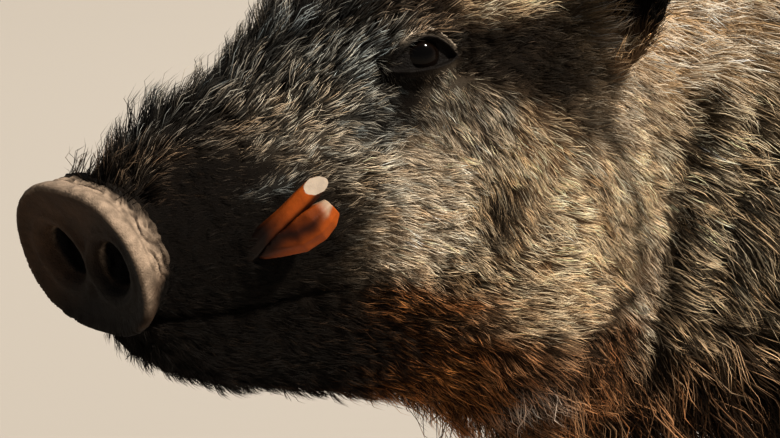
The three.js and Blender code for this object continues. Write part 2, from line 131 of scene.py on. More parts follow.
# ------------------------------------------------------------------ spine
def spine_line():
    """Points down the middle of the body, from the snout to the rump, and the way along at each."""
    head = [NOSE - FORWARD * HEAD_LENGTH * t for t in np.linspace(0, 1, 40)]
    radius = NECK_ARC / HEAD_TURN
    neck = []
    for t in np.linspace(0, 1, 40)[1:]:
        turn = HEAD_TURN * (1 - t)
        across = radius * (math.cos(turn) - math.cos(HEAD_TURN))
        along = radius * (math.sin(HEAD_TURN) - math.sin(turn))
        neck.append(head[-1] + np.array([-across, along, 0]))
    rump_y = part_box("trunk")[1].y
    trunk = [neck[-1] + np.array([0, t * (rump_y - neck[-1][1]), 0]) for t in np.linspace(0, 1, 60)[1:]]
    line = np.array(head + neck + trunk)
    step = np.linalg.norm(np.diff(line, axis=0), axis=1)
    return line, np.concatenate([[0], np.cumsum(step)]), unit(np.gradient(line, axis=0))


SPINE, SPINE_LENGTH, SPINE_WAY = spine_line()


def spine_places(points):
    """Distance from the snout along the spine, distance to its left, and the way along there."""
    flat = points[:, None, :2] - SPINE[None, :, :2]
    nearest = np.argmin((flat ** 2).sum(axis=2), axis=1)
    way = SPINE_WAY[nearest]
    offset = points - SPINE[nearest]
    along = SPINE_LENGTH[nearest] + (offset * way).sum(axis=1)
    left = np.cross(UP, -way)
    return along, (offset * left).sum(axis=1), way


def placed(name, data):
    """A new object in the scene, made of the data."""
    thing = bpy.data.objects.new(name, data)
    bpy.context.scene.collection.objects.link(thing)
    return thing


# ------------------------------------------------------------------ camera, floor and light
CAMERA_TURN = math.radians(41)      # from the head's forward direction, towards its left
CAMERA_RISE = math.radians(17)
CAMERA_DISTANCE = 1.30              # to the snout disc
CAMERA_LENS = 106.8
CAMERA_SENSOR = 36.0
DISC_IN_VIEW = (-0.3987, -0.0551)   # the disc from the view's middle, as parts of its width
FLOOR_HALF = 60.0


def camera_axes():
    flat = FORWARD * math.cos(CAMERA_TURN) + LEFT * math.sin(CAMERA_TURN)
    towards = flat * math.cos(CAMERA_RISE) + UP * math.sin(CAMERA_RISE)
    right = unit(np.cross(UP, towards))
    return right, np.cross(towards, right), towards


def make_camera():
    right, above, towards = camera_axes()
    width = CAMERA_DISTANCE * CAMERA_SENSOR / CAMERA_LENS
    place = NOSE - right * DISC_IN_VIEW[0] * width - above * DISC_IN_VIEW[1] * width
    place = place + towards * CAMERA_DISTANCE
    data = bpy.data.cameras.new("camera")
    data.sensor_width = CAMERA_SENSOR
    data.lens = CAMERA_LENS
    camera = placed("camera", data)
    turn = Matrix([list(v) for v in (right, above, towards)]).transposed().to_4x4()
    camera.matrix_world = Matrix.Translation(Vector(place)) @ turn
    bpy.context.scene.camera = camera


def make_floor():
    material = new_material("floor_paint", (0.29, 0.262, 0.230), 0.9)[0]
    corners = [(x * FLOOR_HALF, y * FLOOR_HALF, 0) for x, y in ((-1, -1), (1, -1), (1, 1), (-1, 1))]
    floor = mesh_object("floor", corners, [(0, 1, 2, 3)], material)


def add_light(name, kind, place, target, size, power, colour):
    """A light aimed at a place. A sun's size is its angle in degrees, any other's is in metres."""
    data = bpy.data.lights.new(name, kind)
    if kind == "SUN":
        data.angle = math.radians(size)
    else:
        data.shape = "DISK"
        data.size = size
    data.energy = power
    data.color = colour
    light = placed(name, data)
    light.location = Vector(place)
    light.rotation_euler = (Vector(target) - Vector(place)).to_track_quat("-Z", "Y").to_euler()
    light.visible_camera = False
    light.visible_glossy = kind == "SUN"


def make_lights():
    right, above, towards = camera_axes()
    target = head_point(220, 0, 0)
    key = target + unit(right * 0.62 + above * 0.66 + towards * 0.42) * 3.2
    add_light("key", "SUN", key, target, 6.0, 7.6, (1.0, 0.915, 0.785))
    fill = target + (right * 0.5 + above * 0.30 + towards * 0.85) * 4.0
    add_light("fill", "AREA", fill, target, 3.0, 7, (0.90, 0.94, 1.0))
    body = middle("trunk")
    back = body + np.array([-2.6, 1.6, 2.6])
    add_light("back", "AREA", back, body, 2.4, 100, (0.97, 0.98, 1.0))
    world = bpy.data.worlds.new("studio")
    world.use_nodes = True
    nodes, links = world.node_tree.nodes, world.node_tree.links
    place = nodes.new("ShaderNodeTexCoord")
    split = nodes.new("ShaderNodeSeparateXYZ")
    links.new(place.outputs["Generated"], split.inputs["Vector"])
    sky = nodes.new("ShaderNodeValToRGB")
    sky.color_ramp.elements[0].color = (0.50, 0.465, 0.42, 1)
    sky.color_ramp.elements[0].position = 0.07
    sky.color_ramp.elements[1].color = (0.19, 0.205, 0.225, 1)
    sky.color_ramp.elements[1].position = 0.25
    links.new(split.outputs["Z"], sky.inputs["Fac"])
    links.new(sky.outputs["Color"], nodes["Background"].inputs["Color"])
    nodes["Background"].inputs["Strength"].default_value = 1.0
    bpy.context.scene.world = world
    bpy.context.scene.view_settings.view_transform = "Standard"


# ------------------------------------------------------------------ materials
def new_material(name, colour, roughness):
    material = bpy.data.materials.new(name)
    material.use_nodes = True
    tree = material.node_tree
    shader = tree.nodes["Principled BSDF"]
    shader.inputs["Base Color"].default_value = (*colour, 1)
    shader.inputs["Roughness"].default_value = roughness
    return material, tree.nodes, tree.links, shader


def add_node(nodes, kind, **values):
    """A shader node with some of its inputs set by name."""
    node = nodes.new(kind)
    for key, value in values.items():
        node.inputs[key.replace("_", " ")].default_value = value
    return node


def noise_node(nodes, links, vector, scale, detail=4.0, roughness=0.55):
    node = add_node(nodes, "ShaderNodeTexNoise", Scale=scale, Detail=detail, Roughness=roughness)
    links.new(vector, node.inputs["Vector"])
    return node.outputs["Fac"]


def add_bump(nodes, links, shader, height, strength, distance):
    bump = add_node(nodes, "ShaderNodeBump", Strength=strength, Distance=distance)
    links.new(height, bump.inputs["Height"])
    links.new(bump.outputs["Normal"], shader.inputs["Normal"])


def varied_colour(nodes, links, base, factor, low, high):
    """The base colour times a brightness between low and high, by the factor."""
    spread = add_node(nodes, "ShaderNodeMapRange", To_Min=low, To_Max=high)
    links.new(factor, spread.inputs["Value"])
    product = nodes.new("ShaderNodeVectorMath")
    product.operation = "SCALE"
    links.new(base, product.inputs[0])
    links.new(spread.outputs["Result"], product.inputs["Scale"])
    return product.outputs["Vector"]


def painted_material(name, colour, roughness, specular, grain, low, high):
    """A material in the mesh's painted colours, varied by noise. Also its tree, shader and place."""
    material, nodes, links, shader = new_material(name, colour, roughness)
    shader.inputs["Specular IOR Level"].default_value = specular
    paint_node = nodes.new("ShaderNodeAttribute")
    paint_node.attribute_name = "coat"
    where = nodes.new("ShaderNodeTexCoord").outputs["Object"]
    fine = noise_node(nodes, links, where, *grain)
    shade = varied_colour(nodes, links, paint_node.outputs["Color"], fine, low, high)
    links.new(shade, shader.inputs["Base Color"])
    return material, nodes, links, shader, where


def coat_material():
    """Coarse hair: each tuft's painted colours, painted shade in the neck's folds included, with fine
    streaks.
    """
    return painted_material("coat_hair", (0.3, 0.25, 0.2), 0.6, 0.05, (900, 2.0), 0.72, 1.28)[0]


def skin_material(name, specular, roughness):
    """Skin in its painted colours, the coat's markings with painted light and shade, grained like leather
    between its fine hairs.
    """
    material, nodes, links, shader, where = painted_material(
        name, (0.1, 0.08, 0.06), roughness, specular, (240, 5.0), 0.45, 1.5)
    grain = add_node(nodes, "ShaderNodeTexVoronoi", Scale=620.0)
    grain.feature = "DISTANCE_TO_EDGE"
    links.new(where, grain.inputs["Vector"])
    hairs = noise_node(nodes, links, where, 1400, 3.0, 0.7)
    height = nodes.new("ShaderNodeMath")
    height.operation = "MULTIPLY_ADD"
    links.new(grain.outputs["Distance"], height.inputs[0])
    height.inputs[1].default_value = 1.4
    links.new(hairs, height.inputs[2])
    add_bump(nodes, links, shader, height.outputs["Value"], 0.55, 0.0009)
    return material


def tusk_material():
    """Stained ivory in painted colours: an orange-brown stain along the shaft, with painted shade in darker
    brown, worn white by the tip, with fine grooves.
    """
    material, nodes, links, shader, where = painted_material(
        "tusk_ivory", (0.6, 0.35, 0.16), 0.46, 0.09, (190, 6.0, 0.65), 0.55, 1.4)
    shader.inputs["Subsurface Weight"].default_value = 0.06
    shader.inputs["Subsurface Radius"].default_value = (0.004, 0.002, 0.001)
    fine = noise_node(nodes, links, where, 900, 4.0, 0.6)
    add_bump(nodes, links, shader, fine, 0.30, 0.0005)
    return material


def horn_material():
    """Dark hoof horn with growth rings, scuffed paler towards the ground."""
    material, nodes, links, shader = new_material("hoof_horn", (0.05, 0.04, 0.032), 0.5)
    where = nodes.new("ShaderNodeTexCoord").outputs["Object"]
    split = nodes.new("ShaderNodeSeparateXYZ")
    links.new(where, split.inputs["Vector"])
    wear = add_node(nodes, "ShaderNodeMapRange", From_Min=0.0, From_Max=0.045)
    links.new(split.outputs["Z"], wear.inputs["Value"])
    ramp_node = nodes.new("ShaderNodeValToRGB")
    ramp_node.color_ramp.elements[0].color = (0.060, 0.047, 0.035, 1)
    ramp_node.color_ramp.elements[1].color = (0.024, 0.019, 0.015, 1)
    links.new(wear.outputs["Result"], ramp_node.inputs["Fac"])
    scuff = noise_node(nodes, links, where, 260, 6.0, 0.6)
    shade = varied_colour(nodes, links, ramp_node.outputs["Color"], scuff, 0.5, 1.6)
    links.new(shade, shader.inputs["Base Color"])
    rings = add_node(nodes, "ShaderNodeTexWave", Scale=55.0, Distortion=3.0, Detail=3.0)
    rings.bands_direction = "Z"
    links.new(where, rings.inputs["Vector"])
    add_bump(nodes, links, shader, rings.outputs["Fac"], 0.35, 0.001)
    return material


def eye_material():
    """A dark brown eye with a black pupil and a bluish white corner, wet all over."""
    material, _, _, shader, _ = painted_material(
        "eye_wet", (0.03, 0.018, 0.01), 0.10, 0.05, (700, 4.0), 0.6, 1.4)
    shader.inputs["Coat Weight"].default_value = 0.06
    shader.inputs["Coat Roughness"].default_value = 0.03
    return material


# ------------------------------------------------------------------ mesh helpers
def mesh_object(name, points, faces, material):
    mesh = bpy.data.meshes.new(name)
    mesh.from_pydata([tuple(p) for p in points], [], faces)
    mesh.update()
    mesh.materials.append(material)
    return placed(name, mesh)


def rows_of(items, what, width, kind):
    """One value of each of a mesh's items, as an array of rows."""
    flat = np.empty(len(items) * width, dtype=kind)
    items.foreach_get(what, flat)
    return flat.reshape(-1, width)


def points_of(mesh):
    return rows_of(mesh.vertices, "co", 3, np.float32).astype(float)


def normals_of(mesh):
    return unit(rows_of(mesh.vertices, "normal", 3, np.float32).astype(float))


def set_points(mesh, points):
    mesh.vertices.foreach_set("co", points.astype(np.float32).ravel())
    mesh.update()


def edges_of(mesh):
    return rows_of(mesh.edges, "vertices", 2, np.int32)


def paint(mesh, colours):
    layer = mesh.attributes.new("coat", "FLOAT_COLOR", "POINT")
    rgba = np.ones((len(colours), 4), dtype=np.float32)
    rgba[:, :3] = colours
    layer.data.foreach_set("color", rgba.ravel())


def smooth_shade(mesh):
    mesh.polygons.foreach_set("use_smooth", np.ones(len(mesh.polygons), dtype=bool))
    mesh.update()


def relax(values, edges, rounds, weight=0.5, keep_size=True):
    """Averages values over neighbouring vertices. With keep_size a shape isn't shrunk by it."""
    count = len(values)
    flat = values.reshape(count, -1).copy()
    degree = np.bincount(edges.ravel(), minlength=count).astype(float)
    weight = np.broadcast_to(np.asarray(weight, dtype=float).reshape(-1, 1), (count, 1))
    passes = (1.0, -1.03) if keep_size else (1.0,)
    for _ in range(rounds):
        for sign in passes:
            near = np.empty_like(flat)
            for c in range(flat.shape[1]):
                total = np.bincount(edges[:, 0], weights=flat[edges[:, 1], c], minlength=count)
                total += np.bincount(edges[:, 1], weights=flat[edges[:, 0], c], minlength=count)
                near[:, c] = total / degree
            flat += (near - flat) * weight * sign
    return flat.reshape(values.shape)


@contextmanager
def editing(mesh):
    """The mesh as a bmesh, written back at the end."""
    work = bmesh.new()
    work.from_mesh(mesh)
    yield work
    work.to_mesh(mesh)
    work.free()


def remeshed(piece, voxel):
    """The piece, with its mesh made again of even small squares."""
    remesh = piece.modifiers.new("remesh", "REMESH")
    remesh.mode = "VOXEL"
    remesh.voxel_size = voxel
    graph = bpy.context.evaluated_depsgraph_get()
    made = bpy.data.meshes.new_from_object(piece.evaluated_get(graph))
    piece.modifiers.clear()
    old = piece.data
    piece.data = made
    bpy.data.meshes.remove(old)
    return piece


# ------------------------------------------------------------------ skin: one mesh for all the flesh
LEGS = [f"{end}_leg_{side}" for end in ("fore", "hind") for side in ("left", "right")]
EARS = ["ear_left", "ear_right"]
FLESH = ["head", "lower_jaw", "snout_disc", "neck", "trunk", "tail", *EARS, *LEGS]
SKIN_VOXEL = 7.0 * MM
OVERLAP = 0.9 * MM                  # closes the gaps between the CAD nodes
EYE_RADIUS = 17 * MM
SIDES = {"left": 1, "right": -1}
SOCKET_FILL = (23, 17, 16)          # half sizes of the lump that fills an eye socket, in mm
BOX_MARGIN = 0.03                   # round a node, where its surface is looked for


def eye_centre(side):
    return head_point(231, side * 51, 86)


def eye_axes(side):
    """Along the slit towards the snout, up across it, and out of the head."""
    out = head_vector(0.38, side * 0.87, 0.30)
    along = head_vector(0.87, side * -0.46, -0.06)
    along = unit(along - out * (along @ out))
    across = np.cross(out, along)
    return along, -across if across[2] < 0 else across, out


def eye_places(points, side):
    """Points on the eye's axes, in mm from the eyeball's centre."""
    d = (points - eye_centre(side)) / MM
    return [d @ axis for axis in eye_axes(side)]


def near_an_eye(points, reach):
    return np.minimum(*[np.linalg.norm(points - eye_centre(s), axis=1) for s in SIDES.values()]) < reach * MM


def joined_flesh():
    """All the flesh nodes in one mesh, each a little swollen, with the eye sockets filled."""
    made = bmesh.new()
    for name in FLESH:
        mesh = NODES[name].data.copy()
        with editing(mesh) as part:
            bmesh.ops.remove_doubles(part, verts=part.verts, dist=1e-6)
            bmesh.ops.recalc_face_normals(part, faces=part.faces)
            part.normal_update()
            for vertex in part.verts:
                vertex.co += vertex.normal * OVERLAP
        made.from_mesh(mesh)
        bpy.data.meshes.remove(mesh)
    for side in SIDES.values():
        axes = [list(axis * half) for axis, half in zip(eye_axes(side), SOCKET_FILL)]
        basis = Matrix(axes).transposed().to_4x4()
        place = Matrix.Translation(Vector(eye_centre(side))) @ basis @ Matrix.Scale(MM, 4)
        bmesh.ops.create_icosphere(made, subdivisions=3, radius=1.0, matrix=place)
    mesh = bpy.data.meshes.new("skin")
    made.to_mesh(mesh)
    made.free()
    return placed("skin", mesh)


def largest_part(mesh):
    """Deletes stray islands of the remesh."""
    with editing(mesh) as work:
        left = set(work.verts)
        best = set()
        while left:
            stack = [left.pop()]
            island = set(stack)
            while stack:
                near = {v for edge in stack.pop().link_edges for v in edge.verts} & left
                left -= near
                island |= near
                stack += near
            best = max(best, island, key=len)
        bmesh.ops.delete(work, geom=[v for v in work.verts if v not in best], context="VERTS")


def refine(mesh, wanted):
    """Splits the faces whose middles the function wants."""
    with editing(mesh) as work:
        chosen = wanted(np.array([f.calc_center_median() for f in work.faces]))
        edges = {e for f, yes in zip(work.faces, chosen) if yes for e in f.edges}
        bmesh.ops.subdivide_edges(work, edges=list(edges), cuts=1, use_grid_fill=True)
    mesh.update()


def surface_tree(node):
    mesh = NODES[node].data
    return BVHTree.FromPolygons([v.co for v in mesh.vertices], [tuple(p.vertices) for p in mesh.polygons])


FLESH_TREES = {name: surface_tree(name) for name in FLESH}
FLESH_BOXES = {name: [np.array(corner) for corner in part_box(name)] for name in FLESH}


def part_shares(points):
    """How much each point belongs to the ears, legs and tail, from 0 to 1."""
    groups = {"ear": EARS, "leg": LEGS, "tail": ["tail"], "body": ["head", "lower_jaw", "neck", "trunk"]}
    near = {}
    for key, names in groups.items():
        distance = np.full(len(points), 1e9)
        for name in names:
            tree = FLESH_TREES[name]
            low, high = FLESH_BOXES[name]
            close = np.all((points > low - BOX_MARGIN) & (points < high + BOX_MARGIN), axis=1)
            for i in np.flatnonzero(close):
                found = tree.find_nearest(Vector(points[i]))[3]
                distance[i] = min(distance[i], found)
        near[key] = distance
    stack = np.stack([near[k] for k in groups], axis=1)
    nearest = np.argmin(stack, axis=1)
    return {key: (nearest == i).astype(float) for i, key in enumerate(groups)}


def coat_depth(points, shares):
    """How far the skin lies under the coat's tips, in metres."""
    behind, side, above = head_places(points).T
    along = spine_places(points)[0] / MM
    height = points[:, 2] / MM
    crest = ramp(0.62, 0.95, (height - 560) / 300) * bell(along, 700, 420)
    depth = np.full(len(points), 9.0)
    for value, share in (
        (3.5, ramp(150, 60, behind)),                                       # muzzle
        (6, bell(behind, 240, 70) * ramp(90, 130, above)),                  # brow
        (3, bell(behind, 165, 65) * ramp(60, 90, above)),                   # forehead
        (4, bell(behind, 60, 40) * ramp(30, 55, above)),                    # bridge
        (12, ramp(230, 320, behind) * ramp(40, 80, np.abs(side))),          # cheek
        (14, ramp(270, 360, along) * ramp(-120, -190, above)),              # throat
        (16 + 34 * crest + 8 * ramp(470, 380, height) * ramp(560, 700, along), ramp(400, 620, along)),
        (0.6, ramp(26, 16, behind)),                                        # snout disc
        (3.0, shares["ear"]),
        (1 + 6 * ramp(70, 190, height) + 11 * ramp(300, 480, height), shares["leg"]),
        (5 + 5 * ramp(560, 470, height), shares["tail"]),
    ):
        depth = mix(depth, value, share)
    return (depth + OVERLAP / MM) * MM


# Snout disc in section, from the middle of its face to the skin behind the rim:
# size as a part of the outline, and depth behind the face in mm.
DISC_PROFILE = [
    (0.0, 6.0), (0.35, 5.8), (0.62, 5.1), (0.80, 3.6), (0.89, 1.8), (0.935, 0.5), (0.965, 0.0),
    (0.988, 0.8), (1.0, 2.6), (1.0, 5.0), (0.975, 9.0), (0.94, 13.0), (0.915, 17.0), (0.90, 22.0),
    (0.90, 32.0),
]


NOSTRIL_OUT, NOSTRIL_LEAN, NOSTRIL_LOW = 20.5, 0.16, 3.0
NOSTRIL_HALF_WIDTH, NOSTRIL_HALF_HEIGHT, NOSTRIL_DEPTH = 15.0, 18.0, 19


def disc_places(points):
    """Depth behind the disc's face, left and up from its middle, in mm."""
    d = points - NOSE
    return -(d @ DISC_FACE) / MM, (d @ LEFT) / MM, (d @ DISC_UP) / MM


def disc_outline(angle):
    """The disc's half width at each angle, in mm: squarer below, with a shallow notch on top."""
    across, up = np.abs(np.cos(angle)), np.abs(np.sin(angle))
    power = np.where(np.sin(angle) < 0, 2.5, 2.15)
    wide, high = DISC_HALF_WIDTH / MM, DISC_HALF_HEIGHT / MM
    full = ((across / wide) ** power + (up / high) ** power) ** (-1 / power)
    return full * (1 - 0.035 * bell(np.abs(angle - math.pi / 2), 0, 0.30))


def disc_size(across, up):
    """Distance from the disc's middle, as a part of its outline's."""
    return np.hypot(across, up) / disc_outline(np.arctan2(up, across))


def disc_share(depth, up):
    """How much each place belongs to the snout's front, and not to the jaw under it."""
    reach = mix(24.0, 11.0, ramp(-18, -34, up))
    return ramp(reach + 6, reach - 6, depth)


def snap_to_disc(points, edges, even):
    """Draws the snout's front onto the nearest part of the disc's section, and evens its spacing."""
    depth, across, up = disc_places(points)
    full = disc_outline(np.arctan2(up, across))
    size = np.hypot(across, up) / full
    rows = np.array(DISC_PROFILE)
    steps = np.linspace(0, 1, 10, endpoint=False)[:, None]
    fine = np.concatenate([a + (b - a) * steps for a, b in zip(rows[:-1], rows[1:])])
    number = np.empty(len(points))
    for some in np.array_split(np.arange(len(points)), 40):
        gap = (size[some, None] - fine[None, :, 0]) * full[some, None]
        far = gap ** 2 + (depth[some, None] - fine[None, :, 1]) ** 2
        number[some] = np.argmin(far, axis=1)
    number = relax(number, edges, even, keep_size=False)
    share = disc_share(depth, up)
    size_new = mix(size, np.interp(number, np.arange(len(fine)), fine[:, 0]), share)
    depth_new = mix(depth, np.interp(number, np.arange(len(fine)), fine[:, 1]), share)
    reach = (size_new / np.maximum(size, 1e-6))[:, None]
    flat = (LEFT * across[:, None] + DISC_UP * up[:, None]) * reach
    return NOSE + (flat - DISC_FACE * depth_new[:, None]) * MM


def shape_disc(mesh):
    """Gives the snout its disc, with a rim all round and two nostrils."""
    edges = edges_of(mesh)
    points = points_of(mesh)
    for _ in range(8):
        points = snap_to_disc(points, edges, 0)
        soft = 0.5 * ramp(34, 26, disc_places(points)[0])
        points = relax(points, edges, 2, soft, keep_size=False)
    for _ in range(3):
        points = snap_to_disc(points, edges, 2)
    depth, across, up = disc_places(points)
    size = disc_size(across, up)
    face = ramp(11, 8.5, depth) * ramp(0.93, 0.84, size)
    sink = 1.2 * bell(across, 0, 2.4) * ramp(28, 8, np.abs(up + 8))
    for side in SIDES.values():
        # The nostrils lean outwards at the top, like two commas.
        beside = across - side * (NOSTRIL_OUT + NOSTRIL_LEAN * up)
        hole = np.hypot(beside / NOSTRIL_HALF_WIDTH, (up + NOSTRIL_LOW) / NOSTRIL_HALF_HEIGHT)
        sink += NOSTRIL_DEPTH * ramp(1.12, 0.38, hole) - 1.5 * bell(hole, 1.32, 0.18)
    points = points - DISC_FACE * (sink * face * MM)[:, None]
    soft = 0.5 * face * ramp(2.0, 6.0, sink)
    points = relax(points, edges, 6, soft, keep_size=False)
    set_points(mesh, points)


FOLD_SPACING, CREASE_SPACING = 8.4, 5.0


def fold_height(points):
    """Height of the snout's loose folds of skin, in mm: grooves are below 0."""
    depth, across, up = disc_places(points)
    angle = np.arctan2(up, across)
    warp = noise(points, 16 * MM) * 8 + noise(points, 7 * MM, 3.1) * 3.4
    wave = np.sin((depth + warp + 3 * np.sin(3 * angle)) * (2 * math.pi / FOLD_SPACING))
    ridge = 1 - 2 * np.clip(-wave, 0, 1) ** 1.5
    fine = np.sin((depth * 1.7 + warp * 2.4) * (2 * math.pi / CREASE_SPACING)) * noise(points, 4 * MM, 9.0)
    crumple = noise(points, 3.4 * MM, 15.0) + 0.6 * noise(points, 1.8 * MM, 16.0)
    strong = 0.55 + 0.75 * noise(points, 11 * MM, 12.0)
    height = 1.3 * strong * ridge + 0.8 * fine + 0.6 * crumple - 0.5
    return ramp(9, 17, depth) * ramp(44, 26, depth) * height


def snout_folds(points, normals):
    """Folds of loose skin behind the disc's rim, and fine creases on the disc itself."""
    depth = disc_places(points)[0]
    creases = noise(points, 3.0 * MM, 5.0) * 0.22 * ramp(11, 8, depth)
    return points + normals * ((fold_height(points) + creases) * MM)[:, None]


MOUTH_HEIGHT, MOUTH_FALL = -41.5, 0.045     # against the disc's centre, and per mm behind it
MOUTH_DEPTH, LIP = 5.5, 9                   # the lips' middles are this far from the mouth's line


def mouth_groove(points, normals):
    """The closed mouth's line, with a fuller upper lip over it."""
    behind, _, above = head_places(points).T
    line = MOUTH_HEIGHT - MOUTH_FALL * (behind - 30) + 2.2 * np.sin(behind / 26.0)
    reach = ramp(10, 24, behind) * ramp(176, 150, behind)
    low_lip = bell(above, line - LIP, 7) * 2.0
    depth = reach * (MOUTH_DEPTH * bell(above, line, 2.8) - 2.4 * bell(above, line + LIP, 7) - low_lip)
    return points - normals * (depth * MM)[:, None]


# Folds of the neck's skin on the side that the head turns to, from the ear down to the throat.
NECK_FOLDS = [
    {"depth": 10, "wide": 7, "through":
     [(344, 116, 32), (366, 123, -8), (377, 125, -36), (378, 122, -88), (358, 112, -116), (326, 109, -119)]},
    {"depth": 12, "wide": 9, "through":
     [(436, 128, 34), (414, 130, -31), (407, 125, -85), (415, 116, -138), (426, 106, -174)]},
]


def fold_shade(points):
    """How deep in one of the neck's folds each point is, from 0 to 1, in patches. It sets the painted shade
    in the folds.
    """
    shade = [bell(fold_distance(points, fold), 0, 0.68 * fold["wide"]) for fold in NECK_FOLDS]
    return np.max(shade, axis=0) * (0.72 + 0.5 * noise(points, 13 * MM, 14.0))


def fold_distance(points, fold):
    """Distance in mm from each point to a fold's line, which wanders a little."""
    corners = [head_point(*p) for p in fold["through"]]
    nearest = np.full(len(points), 1e9)
    for a, b in zip(corners[:-1], corners[1:]):
        t = np.clip(((points - a) @ (b - a)) / ((b - a) @ (b - a)), 0, 1)
        nearest = np.minimum(nearest, np.linalg.norm(points - a - t[:, None] * (b - a), axis=1))
    return np.maximum(nearest / MM + 4 * noise(points, 22 * MM, 7.0), 0)


def neck_folds(points, normals):
    depth = np.zeros(len(points))
    for fold in NECK_FOLDS:
        x = fold_distance(points, fold) / fold["wide"]
        depth += fold["depth"] * (np.exp(-x * x) - 0.40 * np.exp(-((x - 2.2) / 1.3) ** 2))
    return points - normals * (depth * MM)[:, None]


SLIT_FRONT, SLIT_BACK, SLIT_LOW = 25.0, 20.0, 4.0
UPPER_LID, LOWER_LID = 13.0, 4.6            # the lids' edges from the slit's line, in mm
LID_THICKNESS = 2.2
EYE_REACH = (46, 36, -14)                   # of the lids, along, across and into the head


def slit(p, q):
    """How far a place is outside the slit between the lids, in mm: less than 0 inside it."""
    x = np.where(p > 0, p / SLIT_FRONT, p / SLIT_BACK)
    inside = np.clip(1 - np.abs(x) ** 1.8, 0, None)
    line = q + SLIT_LOW + 1.5 * np.clip(x, 0, None)
    upper = line - UPPER_LID * inside ** 0.9
    lower = -LOWER_LID * inside ** 0.7 - line
    ends = (np.abs(x) - 1) * 20
    return np.maximum(np.maximum(upper, lower), ends)


def shape_lids(points):
    """Wraps the skin round the eyeball as two lids, with a fold over the upper one."""
    points = points.copy()
    shades = np.zeros((len(points), 2))
    ball = EYE_RADIUS / MM
    for side in SIDES.values():
        out = eye_axes(side)[2]
        p, q, h = eye_places(points, side)
        near = (np.abs(p) < EYE_REACH[0]) & (np.abs(q) < EYE_REACH[1]) & (h > EYE_REACH[2])
        gap = slit(p, q)
        squeeze = np.sqrt(np.clip(1 - (p / np.where(p > 0, 33.0, 30.0)) ** 2 - (q / 26.0) ** 2, 0.05, 1))
        lid = (ball + LID_THICKNESS) * squeeze + 0.5 + 1.3 * bell(gap, 1.4, 1.5)
        upper_fold = 2.6 * bell(gap, 6.5, 2.6) - 1.5 * bell(gap, 3.4, 1.0)
        lid = lid + np.where(q > -4, upper_fold, 0.7 * bell(gap, 5.0, 2.5))
        under = (ball - LID_THICKNESS) * squeeze
        outside = mix(lid, h, ramp(3.5, 17.0, gap))
        target = mix(under, outside, ramp(-0.6, 0.5, gap))
        points += out * (np.where(near, target - h, 0) * MM)[:, None]
        shades[:, 0] = np.maximum(shades[:, 0], near * ramp(2.8, 0.8, gap))
        # The pale fold over the upper lid, partly a painted highlight.
        fold = near * bell(gap, 6.5, 3.0) * (q > -4) * ramp(22, 12, np.abs(p + 4))
        shades[:, 1] = np.maximum(shades[:, 1], fold)
    return points, shades


def on_face(points):
    behind, side, _ = head_places(points).T
    return (behind < 330) & (np.abs(side) < 150)


def on_snout_or_eye(points):
    return (disc_places(points)[0] < 50) | near_an_eye(points, 42)


def on_disc_or_lids(points):
    return (disc_places(points)[0] < 30) | near_an_eye(points, 31)


def make_skin():
    skin = remeshed(joined_flesh(), SKIN_VOXEL * (1.0))
    mesh = skin.data
    largest_part(mesh)
    points = points_of(mesh)
    edges = edges_of(mesh)
    shares = part_shares(points)
    shares = {key: relax(value, edges, 3, keep_size=False) for key, value in shares.items()}
    behind = head_places(points)[:, 0]
    fleshy = 0.55 * ramp(60, 200, behind) * (1 - shares["leg"]) * (1 - shares["ear"]) * (1 - shares["tail"])
    points = relax(points, edges, 26, fleshy, keep_size=False)
    points = relax(points, edges, 14, 0.5)
    set_points(mesh, points)
    depth = relax(coat_depth(points, shares), edges, 6, keep_size=False)
    points = points - normals_of(mesh) * depth[:, None]
    set_points(mesh, points)

    for wanted in (on_face, on_snout_or_eye, on_disc_or_lids):
        refine(mesh, wanted)
        points = points_of(mesh)
        inside = wanted(points).astype(float)
        set_points(mesh, relax(points, edges_of(mesh), 3, 0.5 * inside, keep_size=False))
    points = points_of(mesh)
    points = mouth_groove(points, normals_of(mesh))
    points = neck_folds(points, normals_of(mesh))
    points, shades = shape_lids(points)
    set_points(mesh, points)
    shape_disc(mesh)
    set_points(mesh, snout_folds(points_of(mesh), normals_of(mesh)))
    smooth_shade(mesh)
    colours, bare = skin_colours(points_of(mesh), shades)
    paint(mesh, colours)
    mesh.materials.append(skin_material("furred_skin", 0.03, 0.8))
    mesh.materials.append(skin_material("bare_skin", 0.05, 0.5))
    mesh.polygons.foreach_set("material_index", [int(bare[p.vertices[0]] > 0.5) for p in mesh.polygons])
    mesh.update()
    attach(skin, "root")
    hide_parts(*FLESH)
    return skin


# ------------------------------------------------------------------ the coat's lie and markings
LIGHT = (0.85, 0.81, 0.72)
WARM = (0.85, 0.66, 0.43)
PALE = (0.78, 0.65, 0.49)
CREAM = (0.66, 0.50, 0.32)
TAN = (0.52, 0.34, 0.18)
ORANGE = (0.42, 0.15, 0.035)
RUST = (0.44, 0.20, 0.085)
GREY = (0.42, 0.42, 0.38)
DIM = (0.20, 0.195, 0.175)
UMBER = (0.30, 0.205, 0.13)
GRIZZLE = (0.33, 0.26, 0.175)
SAND = (0.17, 0.12, 0.075)
BROWN = (0.085, 0.048, 0.025)
SOOT = (0.040, 0.025, 0.016)
# DARK and BLACK are darker than black hair alone: on the muzzle's sides, under the jaw and round the eye
# they carry painted shade as well.
DARK = (0.008, 0.005, 0.003)
BLACK = (0.0025, 0.0018, 0.0014)


def patches(rows):
    """Areas of the coat, each a row for patch."""
    return [patch(*row) for row in rows]


def patch(at, size, lie, length, lift, tip, root, dark, strength=1.0, curl=0.0):
    """One area of the coat. Its lie is given as forward, out and up on the head, and as
    back along the body, out and up elsewhere; length in mm, lift in degrees, and dark is
    the share of tufts with no pale tip."""
    return {
        "at": np.array(at, float), "size": np.array(size, float), "lie": np.array(lie, float),
        "rest": np.array([length, lift, *tip, *root, dark, curl], float), "strength": strength,
    }


